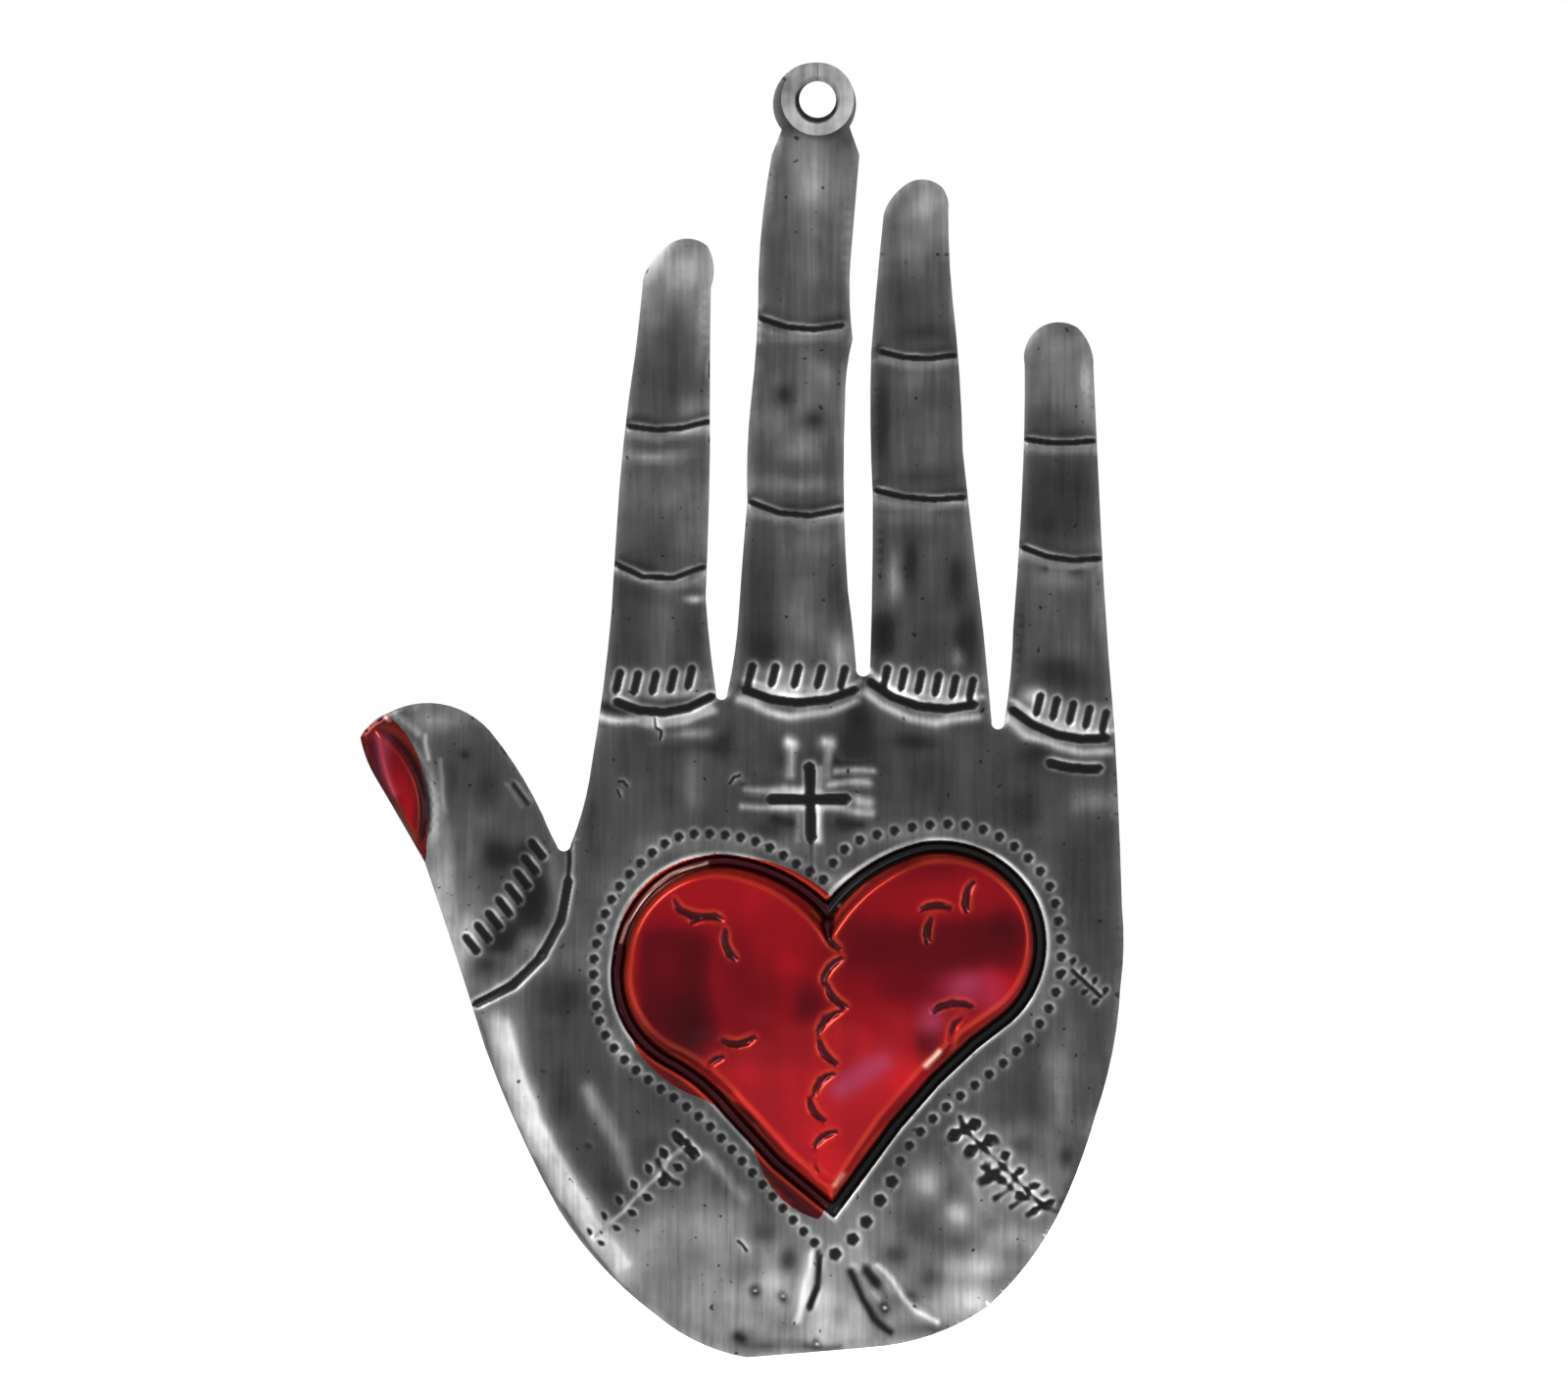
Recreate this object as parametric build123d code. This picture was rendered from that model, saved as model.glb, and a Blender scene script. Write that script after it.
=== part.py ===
from build123d import *
import math
import os

# A tin hand ornament, pressed from one thin sheet, with a raised heart, a hanging ring and red lacquer.
# All lengths are in millimetres. The sheet is drawn flat, seen from the front: X to the right, Y up the
# fingers, Z out of the front. The origin is on the axis of the hanging hole, in the sheet's front face.
# The finished pieces are then stood up, so that the front faces -Y and the fingers point to +Z.

# Sheet
hand_height = 140.0
hand_width = 82.6
sheet = 0.3

# Hanging eye: a round tab on the middle finger, with a split ring soldered to its front
hole_radius = 2.0
tab_radius = 4.5
tab_left_notch_angle = 218
tab_right_notch_angle = -33
ring_radius = 3.95
ring_thickness = 0.9
ring_mouth_bevel = 0.45
ring_seam_gap = 0.08

# Heart: a raised plateau with a low dome, a groove round it and a lip round the groove
heart_width = 44.0
heart_height = 37.4
heart_rise = 1.5
heart_dome = 1.0
heart_edge_round = 0.8
wall_lean = 0.3
groove_width = 1.15
groove_depth = 0.5
lip_width = 0.8
lip_rise = 0.25

# Punched beads round the heart
bead_radius = 0.6
big_bead_radius = 0.85
bead_depth = 0.2
bead_sides = 5
bead_floor_share = 0.35
left_bead_count = 45
right_bead_count = 34

# Chased marks, all shallower than the sheet is thick, so that its back stays whole
mark_depth = 0.18
tick_length = 2.9
tick_width = 0.85
base_arc_width = 0.9
crease_width = 0.45
stitch_width = 0.65
cross_bar_width = 1.1
leaf_length = 1.6
leaf_width = 0.9
stem_width = 0.35
leaf_gap = 0.15
base_arc_bends = 3
crease_bends = 2

# Thumbnail: a raised nail plate near the sheet's edge
nail_rise = 0.4
nail_bevel = 0.35

# Lacquer coats
lacquer = 0.08

# How far the tool blocks reach beyond what they cut
overrun = 5.0
# How far a slope or a mark's edge shifts sideways from the front to the back, as a share of the thickness
spread_share = 0.6
# How far a lip's crest stands in from its inner edge, as a share of its width
crest_share = 0.3
# How long the points of a chisel mark and of a stitch are, as shares of half their widths
point_share = 0.8
stitch_point_share = 2.5

# Places on the hand, as shares of its width and height from the hanging hole
tab_place_shares = (-0.004, -0.0035)
heart_place_shares = (0.015, -0.716)

# The cut outline, clockwise from the tab: round arcs joined end to end, each through a place between its ends
outline_shares = [
    # middle finger, right side
    (0.0547, -0.0427), (0.0488, -0.0836), (0.0428, -0.1267), (0.0422, -0.1592), (0.0458, -0.1849),
    (0.0388, -0.2061), (0.0359, -0.2349), (0.0342, -0.3014), (0.0397, -0.3793), (0.0463, -0.4111),
    (0.0504, -0.4384),
    # ring finger
    (0.0599, -0.4452), (0.0688, -0.4376), (0.0714, -0.3756), (0.0722, -0.306), (0.0691, -0.2485),
    (0.0701, -0.1948), (0.0768, -0.1471), (0.0865, -0.0881),
    (0.0954, -0.0772), (0.1099, -0.0681), (0.1381, -0.0616), (0.1631, -0.0677), (0.1696, -0.0753),
    (0.1709, -0.0859),
    (0.1722, -0.1184), (0.1765, -0.1539), (0.185, -0.2069), (0.19, -0.2712), (0.2022, -0.3362),
    (0.2169, -0.4104), (0.2224, -0.4452), (0.2276, -0.48),
    # little finger
    (0.2355, -0.486), (0.2445, -0.4807), (0.2517, -0.4489), (0.256, -0.4073), (0.2642, -0.3408),
    (0.2694, -0.2765), (0.2709, -0.2409), (0.271, -0.2046),
    (0.2765, -0.1849), (0.2945, -0.1747), (0.3176, -0.1718), (0.34, -0.1759), (0.3554, -0.1887),
    (0.3609, -0.2076),
    (0.3655, -0.2651), (0.3701, -0.3241), (0.3778, -0.4043), (0.3881, -0.483), (0.394, -0.5511),
    (0.3983, -0.6229),
    # right edge of the palm
    (0.4004, -0.6532), (0.3964, -0.6842), (0.3862, -0.7341), (0.3637, -0.784), (0.3419, -0.8234),
    (0.3137, -0.862),
    # bottom of the palm
    (0.2765, -0.8967), (0.2227, -0.9315), (0.156, -0.952), (0.0683, -0.963), (-0.0132, -0.9671),
    (-0.0927, -0.9709),
    # left edge of the palm
    (-0.1517, -0.9603), (-0.2106, -0.9384), (-0.2824, -0.9005), (-0.3388, -0.857), (-0.3906, -0.7961),
    (-0.4353, -0.7311), (-0.4728, -0.6615), (-0.5138, -0.5889),
    # edge of the thumbnail
    (-0.5453, -0.5564), (-0.5786, -0.5231), (-0.5919, -0.5064), (-0.5985, -0.4924), (-0.5888, -0.4837),
    (-0.564, -0.4739),
    # thumb
    (-0.5363, -0.4675), (-0.5055, -0.4656), (-0.4645, -0.4716), (-0.4291, -0.4871), (-0.3901, -0.5193),
    (-0.3596, -0.5526), (-0.3497, -0.5662), (-0.3414, -0.5756),
    # index finger
    (-0.3318, -0.5801), (-0.3227, -0.5745), (-0.3074, -0.548), (-0.2956, -0.5132), (-0.2805, -0.4542),
    (-0.2696, -0.3945), (-0.2665, -0.3635), (-0.2632, -0.3332), (-0.2523, -0.2561), (-0.2388, -0.197),
    (-0.2329, -0.1668), (-0.2281, -0.138),
    (-0.2168, -0.1246), (-0.1978, -0.1135), (-0.1683, -0.1073), (-0.144, -0.1131), (-0.1371, -0.1237),
    (-0.1396, -0.1449),
    (-0.141, -0.2076), (-0.1408, -0.2712), (-0.1432, -0.3317), (-0.1465, -0.3846), (-0.1414, -0.4194),
    (-0.1329, -0.458),
    # middle finger, left side
    (-0.126, -0.4633), (-0.1183, -0.4588), (-0.1088, -0.4285), (-0.1029, -0.3945), (-0.0978, -0.3514),
    (-0.0919, -0.3105), (-0.0919, -0.2712), (-0.0876, -0.2349), (-0.0804, -0.191), (-0.0774, -0.1335),
    (-0.0717, -0.0896), (-0.06, -0.0427),
]

# The raised nail plate's two sides, and the inner edge of the lacquer on the thumb
nail_right_shares = [(-0.579, -0.486), (-0.529, -0.518), (-0.524, -0.576)]
nail_left_shares = [(-0.579, -0.486), (-0.558, -0.538), (-0.524, -0.576)]
nail_lacquer_shares = [
    (-0.564, -0.4739), (-0.5299, -0.4966), (-0.5145, -0.5261), (-0.5094, -0.5571), (-0.5138, -0.5889),
]
nail_lacquer_outside_share = (-0.70, -0.53)

# Rows of tick marks: three places along the row, the count, and the ticks' angle from X
tick_rows_shares = [
    ([(-0.261, -0.449), (-0.213, -0.450), (-0.167, -0.446)], 5, 77),
    ([(-0.088, -0.444), (-0.030, -0.445), (0.033, -0.446)], 5, 76),
    ([(0.089, -0.446), (0.137, -0.450), (0.201, -0.455)], 6, 78),
    ([(0.289, -0.467), (0.330, -0.473), (0.375, -0.480)], 5, 77),
    ([(-0.367, -0.579), (-0.400, -0.615), (-0.453, -0.652)], 8, -52),
]
# Arcs at the bases of the fingers and the thumb, each through three places
base_arc_shares = [
    [(-0.268, -0.463), (-0.214, -0.473), (-0.134, -0.459)],
    [(-0.100, -0.454), (-0.038, -0.465), (0.054, -0.454)],
    [(0.064, -0.447), (0.125, -0.467), (0.211, -0.466)],
    [(0.251, -0.469), (0.298, -0.487), (0.384, -0.492)],
    [(0.298, -0.511), (0.337, -0.516), (0.374, -0.516)],
    [(-0.326, -0.600), (-0.347, -0.650), (-0.451, -0.699)],
]
# Creases at the finger joints, each through three places
crease_shares = [
    [(-0.249, -0.252), (-0.204, -0.255), (-0.141, -0.248)],
    [(-0.268, -0.357), (-0.204, -0.370), (-0.147, -0.360)],
    [(-0.077, -0.168), (-0.023, -0.177), (0.036, -0.174)],
    [(-0.089, -0.310), (-0.029, -0.321), (0.034, -0.316)],
    [(0.080, -0.194), (0.130, -0.200), (0.182, -0.197)],
    [(0.074, -0.301), (0.130, -0.308), (0.194, -0.307)],
    [(0.271, -0.262), (0.315, -0.265), (0.364, -0.263)],
    [(0.267, -0.345), (0.321, -0.355), (0.371, -0.354)],
]
cross_shares = [((-0.011, -0.511), (-0.008, -0.574)), ((-0.067, -0.540), (0.044, -0.540))]
# Leaf sprigs: the stem's two ends and the count of leaf pairs
sprig_shares = [
    ((-0.1747, -0.8082), (-0.2927, -0.8793), 7),
    ((0.1919, -0.7945), (0.2946, -0.8537), 6),
    ((0.3303, -0.6707), (0.3727, -0.6934), 4),
]
# For each sprig, the leaves' length and width at the first and the last pair, as shares of a leaf's size
sprig_leaf_shares = [((1.05, 0.75), (1.2, 0.5)), ((1.05, 0.85), (1.7, 0.9)), ((0.7, 0.7), (0.75, 0.75))]
# How far each sprig's leaves lean back to its start, on the left and the right of its stem, in degrees
sprig_leans = [(15, 15), (-20, 15), (20, 20)]

# Places on the heart, as shares of its width and height from its middle
heart_left_lobe_shares = [
    (-0.0036, 0.3044), (-0.1035, 0.4049), (-0.2513, 0.4618), (-0.4236, 0.3865), (-0.5006, 0.1996),
    (-0.4838, 0.0382), (-0.3923, -0.0779), (-0.3129, -0.1373), (-0.2359, -0.2279),
]
heart_left_side_shares = [
    (-0.2359, -0.2279), (-0.1179, -0.378), (0.0072, -0.4997),
]
heart_right_lobe_shares = [
    (-0.0036, 0.3044), (0.0866, 0.4176), (0.231, 0.4986), (0.3779, 0.4725), (0.4828, 0.3497),
    (0.5006, 0.2053), (0.4284, 0.0439),
]
heart_right_side_shares = [
    (0.4284, 0.0439), (0.3442, -0.0326), (0.2479, -0.1401), (0.1492, -0.2732), (0.0072, -0.4997),
]
left_bead_shares = [
    (-0.014, 0.427), (-0.081, 0.473), (-0.180, 0.537), (-0.269, 0.557), (-0.366, 0.551), (-0.462, 0.475),
    (-0.529, 0.381), (-0.562, 0.283), (-0.578, 0.188), (-0.574, 0.092), (-0.559, 0.001), (-0.517, -0.075),
    (-0.414, -0.177), (-0.319, -0.259), (-0.226, -0.370), (-0.130, -0.500), (-0.036, -0.622),
]
right_bead_shares = [
    (0.010, 0.475), (0.065, 0.535), (0.141, 0.563), (0.228, 0.582), (0.375, 0.573), (0.475, 0.504),
    (0.540, 0.412), (0.565, 0.293), (0.565, 0.135), (0.503, -0.013), (0.401, -0.129), (0.297, -0.222),
    (0.175, -0.387),
]
big_bead_shares = [(0.154, -0.446), (0.125, -0.500), (0.091, -0.562), (0.058, -0.612), (0.015, -0.655)]
# Stitches, each an arc through three places: the middle seam from the top down, then the two lobes
seam_stitch_shares = [
    [(-0.012, 0.293), (-0.002, 0.257), (0.022, 0.228)],
    [(0.031, 0.198), (-0.004, 0.171), (-0.017, 0.129)],
    [(-0.005, 0.123), (0.010, 0.086), (0.043, 0.061)],
    [(0.031, 0.047), (-0.006, 0.023), (-0.028, -0.018)],
    [(-0.024, -0.035), (-0.010, -0.074), (0.019, -0.103)],
    [(0.010, -0.132), (-0.022, -0.155), (-0.038, -0.194)],
    [(-0.048, -0.203), (-0.038, -0.240), (-0.012, -0.268)],
    [(0.017, -0.299), (-0.014, -0.314), (-0.036, -0.344)],
    [(-0.038, -0.390), (-0.023, -0.424), (0.005, -0.446)],
]
lobe_stitch_shares = [
    [(-0.380, 0.370), (-0.357, 0.330), (-0.320, 0.327)],
    [(-0.337, 0.302), (-0.306, 0.324), (-0.264, 0.316)],
    [(-0.253, 0.280), (-0.258, 0.242), (-0.231, 0.200)],
    [(-0.260, -0.041), (-0.224, -0.050), (-0.185, -0.028)],
    [(-0.304, -0.135), (-0.293, -0.101), (-0.260, -0.085)],
    [(0.353, 0.421), (0.334, 0.384), (0.337, 0.336)],
    [(0.228, 0.343), (0.262, 0.356), (0.296, 0.346)],
    [(0.249, 0.316), (0.240, 0.282), (0.240, 0.246)],
    [(0.257, 0.047), (0.302, 0.078), (0.349, 0.061)],
    [(0.319, 0.030), (0.296, -0.015), (0.305, -0.055)],
]
# The lacquer's ragged left edge, from the heart's tip up to the cleft
lacquer_edge_shares = [
    (-0.0241, -0.5563), (-0.0963, -0.5167), (-0.1685, -0.4035), (-0.207, -0.3185), (-0.3081, -0.2081),
    (-0.4188, -0.1373), (-0.5006, -0.0014), (-0.5295, 0.1401), (-0.5102, 0.3157), (-0.4188, 0.4488),
    (-0.2513, 0.4997), (-0.1227, 0.4714), (0.0048, 0.3822),
]


def on_hand(share):
    """A place on the flat sheet, from shares of the hand's width and height."""
    return (share[0] * hand_width, share[1] * hand_height)


def on_heart(share):
    """A place on the flat sheet, from shares of the heart's width and height."""
    middle = on_hand(heart_place_shares)
    return (middle[0] + share[0] * heart_width, middle[1] + share[1] * heart_height)


def chain(shares, place=on_hand):
    """A smooth line through the places."""
    return Spline(*[place(share) for share in shares])


def arcs(shares, place=on_hand):
    """Round arcs joined end to end, each from one place through the next to the one after it."""
    places = [place(share) for share in shares]
    return [ThreePointArc(*places[first : first + 3]) for first in range(0, len(places) - 2, 2)]


def lines(shares, place=on_hand):
    """Straight lines joined end to end."""
    places = [place(share) for share in shares]
    return [Line(start, end) for start, end in zip(places, places[1:])]


def arc(shares, place=on_hand):
    """A round arc through three places."""
    return ThreePointArc(*[place(share) for share in shares])


def prism(face, low, high):
    """A flat face raised from one height to another."""
    return Pos(0, 0, low) * extrude(face, high - low)


def outward(edge, sign, along):
    """The direction square to an edge, to its left or its right."""
    way = edge % along
    return Vector(-way.Y, way.X) * sign


def two_sided_face(left, right, outset):
    """The face between two lines of arcs from one corner to another, its edge moved outwards."""
    sides = [(left, -1), (right, 1)]
    corners = []
    for end, along in ((0, 0), (-1, 1)):
        first, second = [outward(line[end], sign, along) for line, sign in sides]
        corners.append((left[end] @ along) + (first + second) * (outset / (1 + first.dot(second))))
    moved = []
    for line, sign in sides:
        joints = [(edge @ 0) + outward(edge, sign, 0) * outset for edge in line[1:]]
        joints = [corners[0]] + joints + [corners[1]]
        for edge, start, end in zip(line, joints, joints[1:]):
            middle = (edge @ 0.5) + outward(edge, sign, 0.5) * outset
            straight = edge.geom_type == GeomType.LINE
            moved.append(Line(start, end) if straight else ThreePointArc(start, middle, end))
    return make_face(moved)


def tab_point(angle):
    """A point on the rim of the hanging tab."""
    middle = on_hand(tab_place_shares)
    turn = math.radians(angle)
    return (middle[0] + tab_radius * math.cos(turn), middle[1] + tab_radius * math.sin(turn))


def hand_face():
    """The cut outline of the sheet."""
    right_notch = tab_point(tab_right_notch_angle)
    left_notch = tab_point(tab_left_notch_angle)
    sides = arcs(outline_shares)
    tab_sweep = tab_left_notch_angle - tab_right_notch_angle
    tab = CenterArc(on_hand(tab_place_shares), tab_radius, tab_right_notch_angle, tab_sweep)
    necks = [Line(right_notch, sides[0] @ 0), Line(sides[-1] @ 1, left_notch)]
    return make_face([tab, necks[0], *sides, necks[1]])


def heart_sides():
    """The heart's left and right side, each a lobe of arcs and a straighter run down to the tip."""
    left = arcs(heart_left_lobe_shares, on_heart) + lines(heart_left_side_shares, on_heart)
    right = arcs(heart_right_lobe_shares, on_heart) + lines(heart_right_side_shares, on_heart)
    return left, right


def heart_face(outset=0.0):
    """The outline of the heart's raised plateau, moved outwards."""
    left, right = heart_sides()
    return two_sided_face(left, right, outset)


def nail_face(outset=0.0):
    """The outline of the raised nail plate, moved outwards."""
    return two_sided_face([arc(nail_left_shares)], [arc(nail_right_shares)], outset)


def stack(face_at, levels):
    """A solid with sloping sides through an outline moved outwards by so much at each height."""
    sections = [Pos(0, 0, height) * face_at(outset) for outset, height in levels]
    return loft(sections, ruled=True)


def dome_radius():
    """The radius of the ball whose cap crowns the heart."""
    half = heart_width / 2
    return (half**2 + heart_dome**2) / (2 * heart_dome)


def dome_height(place):
    """The height of the heart's crown over a place on the flat sheet."""
    reach = math.dist(on_hand(heart_place_shares), place)
    crown = heart_rise + heart_dome
    return crown - dome_radius() + math.sqrt(dome_radius() ** 2 - reach**2)


def heart_plateau(skin):
    """The raised heart as a block with a rounded rim, its surface set back by skin."""
    inset = skin * spread_share
    crown = heart_rise + heart_dome
    levels = [
        (wall_lean - inset, -overrun),
        (wall_lean - inset, -groove_depth - skin),
        (-inset, heart_rise - heart_edge_round - skin),
        (-inset - 2 * heart_edge_round, crown - skin),
    ]
    ball = Rot(90, 0, 0) * Sphere(dome_radius() - skin)
    ball = Pos(*on_hand(heart_place_shares), crown - dome_radius()) * ball
    return stack(heart_face, levels) & ball


def heart_groove(skin):
    """The hollow round the heart, over the heart's whole area, as a block to cut away."""
    outset = groove_width + skin * spread_share
    crest = outset + lip_width * crest_share
    return stack(heart_face, [(outset, -groove_depth - skin), (crest, lip_rise - skin), (crest, overrun)])


def heart_lip(skin):
    """The low swelling outside the groove."""
    outset = groove_width + lip_width - skin * spread_share
    crest = groove_width + skin * spread_share + lip_width * crest_share
    return stack(heart_face, [(outset, -overrun), (outset, -skin), (crest, lip_rise - skin)])


def nail_plate(skin):
    """The raised nail plate as a block with a bevelled rim."""
    inset = skin * spread_share
    levels = [(-inset, -overrun), (-inset, -skin), (-inset - nail_bevel, nail_rise - skin)]
    return stack(nail_face, levels)


def bead_cutter(radius):
    """The dent of a round punch, as a block to cut away."""
    narrow = radius * bead_floor_share
    lean = math.degrees(math.atan2(radius - narrow, bead_depth))
    floor = Pos(0, 0, -bead_depth) * RegularPolygon(narrow, bead_sides, major_radius=False)
    block = extrude(floor, 2 * bead_depth)
    sides = block.faces().filter_by(Axis.Z, reverse=True)
    return draft(sides, Plane.XY.offset(-bead_depth), -lean)


def evenly(line, count):
    """Places spread evenly along a line, both ends included."""
    return [line @ (index / (count - 1)) for index in range(count)]


def bead_cutters():
    """The row of dents round the heart."""
    small = bead_cutter(bead_radius)
    large = bead_cutter(big_bead_radius)
    places = evenly(chain(left_bead_shares, on_heart), left_bead_count)
    places += evenly(chain(right_bead_shares, on_heart), right_bead_count)
    cutters = [Pos(place.X, place.Y, 0) * small for place in places]
    return cutters + [Pos(*on_heart(share), 0) * large for share in big_bead_shares]


def mark_cutter(line, width, bends=0, point=point_share, surface=0.0, skin=0.0):
    """A chisel mark with pointed ends along a line, as a block to cut away from a surface at that height."""
    side = width / 2 + skin * spread_share
    tip = skin * spread_share
    shoulder = side * point / line.length
    stations = [shoulder + (1 - 2 * shoulder) * step / (bends + 1) for step in range(bends + 2)]
    left = []
    right = []
    for along in stations:
        tangent = line % along
        across = Vector(-tangent.Y, tangent.X) * side
        left.append((line @ along) + across)
        right.append((line @ along) - across)
    start = (line @ 0) - (line % 0) * tip
    end = (line @ 1) + (line % 1) * tip
    corners = [start] + left + [end] + right[::-1]
    face = make_face(Polyline(*corners, close=True))
    return prism(face, surface - mark_depth - skin, surface + overrun)


def leaf_cutter(root, way, length, width):
    """A leaf as a long diamond from its root, as a block to cut away."""
    side = Vector(-way.Y, way.X) * (width / 2)
    middle = root + way * (length / 2)
    face = make_face(Polyline(root, middle + side, root + way * length, middle - side, close=True))
    return prism(face, -mark_depth, overrun)


def tick_cutters():
    """The rows of ticks over the base arcs of the fingers and the thumb."""
    cutters = []
    for row, count, angle in tick_rows_shares:
        half = Vector(tick_length / 2, 0).rotate(Axis.Z, angle)
        for place in evenly(arc(row), count):
            cutters.append(mark_cutter(Line(place - half, place + half), tick_width))
    return cutters


def cross_cutters():
    """The two bars of the cross over the heart."""
    bars = [Line(on_hand(start), on_hand(end)) for start, end in cross_shares]
    return [mark_cutter(bar, cross_bar_width) for bar in bars]


def between(ends, share):
    """A value part of the way from the first of two to the second."""
    return ends[0] + (ends[1] - ends[0]) * share


def sprig_cutters():
    """The leaf sprigs: a thin stem with pairs of leaves that lean along it."""
    cutters = []
    for (start, end, pairs), (lengths, widths), leans in zip(sprig_shares, sprig_leaf_shares, sprig_leans):
        stem = Line(on_hand(start), on_hand(end))
        cutters.append(mark_cutter(stem, stem_width))
        for index, root in enumerate(evenly(stem, pairs)):
            length = leaf_length * between(lengths, index / (pairs - 1))
            width = leaf_width * between(widths, index / (pairs - 1))
            for side, lean in zip((1, -1), leans):
                way = (stem % 0).rotate(Axis.Z, side * (90 + lean))
                near = root + way * (stem_width / 2 + leaf_gap)
                cutters.append(leaf_cutter(near, way, length, width))
    return cutters


def arc_cutters():
    """The arcs at the finger bases and the creases at the finger joints."""
    bases = [mark_cutter(arc(shares), base_arc_width, base_arc_bends) for shares in base_arc_shares]
    return bases + [mark_cutter(arc(shares), crease_width, crease_bends) for shares in crease_shares]


def stitch_cutters(skin):
    """The punched stitches on the heart, each sunk in from the crown above it."""
    cutters = []
    for shares in seam_stitch_shares + lobe_stitch_shares:
        surface = dome_height(on_heart(shares[1]))
        line = arc(shares, on_heart)
        cutters.append(mark_cutter(line, stitch_width, 0, stitch_point_share, surface, skin))
    return cutters


def relief(skin):
    """A block under the raised front, its surface set back from the true front by skin."""
    corner = (Align.CENTER, Align.CENTER, Align.MIN)
    block = Pos(*on_hand(heart_place_shares), -overrun)
    block *= Box(2 * hand_width, 2 * hand_height, overrun - skin, align=corner)
    return block + heart_lip(skin) - heart_groove(skin) + heart_plateau(skin) + nail_plate(skin)


def sheet_marks():
    """Every punched or chased mark on the bare tin."""
    return bead_cutters() + tick_cutters() + cross_cutters() + sprig_cutters() + arc_cutters()


def hand_sheet(outline):
    """The tinplate: what lies between the front relief and the same relief set back by the sheet."""
    front = relief(0.0) - sheet_marks() - stitch_cutters(0.0)
    blank = prism(outline, -overrun, overrun) - Cylinder(hole_radius, 2 * overrun)
    return blank & front - relief(sheet)


def eye_ring():
    """The split ring soldered on the tab, with its butt seam at the top."""
    body = Cylinder(ring_radius, ring_thickness, align=(Align.CENTER, Align.CENTER, Align.MIN))
    body -= Cylinder(hole_radius, 2 * overrun)
    top = body.faces().sort_by(Axis.Z)[-1]
    mouth = top.edges().sort_by(SortBy.RADIUS)[0]
    body = chamfer(mouth, ring_mouth_bevel)
    seam = Box(ring_seam_gap, ring_radius + overrun, 2 * overrun, align=(Align.CENTER, Align.MIN, Align.CENTER))
    return body - seam


def heart_lacquer():
    """The lacquer over the heart and over the groove on its left."""
    ragged = arcs(lacquer_edge_shares, on_heart)
    inner = heart_sides()[0]
    ends = [Line(ragged[-1] @ 1, inner[0] @ 0), Line(inner[-1] @ 1, ragged[0] @ 0)]
    spill = make_face([*ragged, ends[0], *inner, ends[1]])
    coat = relief(-lacquer) - stitch_cutters(-lacquer) - (relief(0.0) - stitch_cutters(0.0))
    painted = prism(heart_face(wall_lean), -overrun, overrun) + prism(spill, -overrun, overrun)
    return coat & painted


def thumbnail_lacquer(outline):
    """The lacquer over the nail plate and the sheet round it, out to the sheet's edge."""
    inner = arcs(nail_lacquer_shares)
    outside = on_hand(nail_lacquer_outside_share)
    area = make_face([*inner, Line(inner[-1] @ 1, outside), Line(outside, inner[0] @ 0)])
    coat = relief(-lacquer) - relief(0.0)
    return coat & prism(area, -overrun, overrun) & prism(outline, -overrun, overrun)


def main():
    outline = hand_face()
    pieces = {
        "hand_sheet": hand_sheet(outline),
        "eye_ring": eye_ring(),
        "heart_lacquer": heart_lacquer(),
        "thumbnail_lacquer": thumbnail_lacquer(outline),
    }
    os.makedirs("parts", exist_ok=True)
    for name, piece in pieces.items():
        standing = Rot(90, 0, 0) * piece
        standing.label = name
        export_step(standing, f"parts/{name}.step")


if __name__ == "__main__":
    main()
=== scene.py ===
import math

import bpy
import numpy as np
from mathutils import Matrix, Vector
from mathutils.geometry import delaunay_2d_cdt


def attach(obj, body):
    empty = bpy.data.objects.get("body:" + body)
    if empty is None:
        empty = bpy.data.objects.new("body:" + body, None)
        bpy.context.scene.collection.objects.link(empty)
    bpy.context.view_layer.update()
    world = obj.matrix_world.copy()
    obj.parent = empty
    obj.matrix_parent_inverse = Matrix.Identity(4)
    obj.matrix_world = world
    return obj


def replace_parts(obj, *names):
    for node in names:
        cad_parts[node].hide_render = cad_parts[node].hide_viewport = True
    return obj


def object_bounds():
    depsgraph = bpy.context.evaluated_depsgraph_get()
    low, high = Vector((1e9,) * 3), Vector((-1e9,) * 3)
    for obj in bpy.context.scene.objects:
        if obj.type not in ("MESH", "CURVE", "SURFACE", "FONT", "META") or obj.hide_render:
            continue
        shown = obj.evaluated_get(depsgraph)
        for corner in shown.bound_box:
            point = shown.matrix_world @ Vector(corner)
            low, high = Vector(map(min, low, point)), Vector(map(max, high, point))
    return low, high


# A tin hand ornament with a red lacquered heart. Lengths are in metres and places are (x, z) in the
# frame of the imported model: the origin is in the middle of the hanging hole and the front faces -Y.
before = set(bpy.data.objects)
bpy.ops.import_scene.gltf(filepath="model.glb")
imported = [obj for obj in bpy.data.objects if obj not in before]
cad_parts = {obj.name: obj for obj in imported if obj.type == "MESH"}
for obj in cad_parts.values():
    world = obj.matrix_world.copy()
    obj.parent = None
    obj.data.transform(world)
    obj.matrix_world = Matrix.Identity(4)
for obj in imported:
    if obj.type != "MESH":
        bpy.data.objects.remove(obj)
cad_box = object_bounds()
MIDDLE = (cad_box[0] + cad_box[1]) / 2
MM = 0.001

# The photograph: its size, the pixel of the hanging hole's middle, and the size of a pixel
PHOTO_SIZE = (1600, 1422)
HOLE_PIXEL = (834.3, 101.5)
PIXEL = 0.1059 * MM
CAMERA_DISTANCE = 1.0

# The tin and the coats
SHEET = 0.3 * MM
COAT = 0.08 * MM

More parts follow.
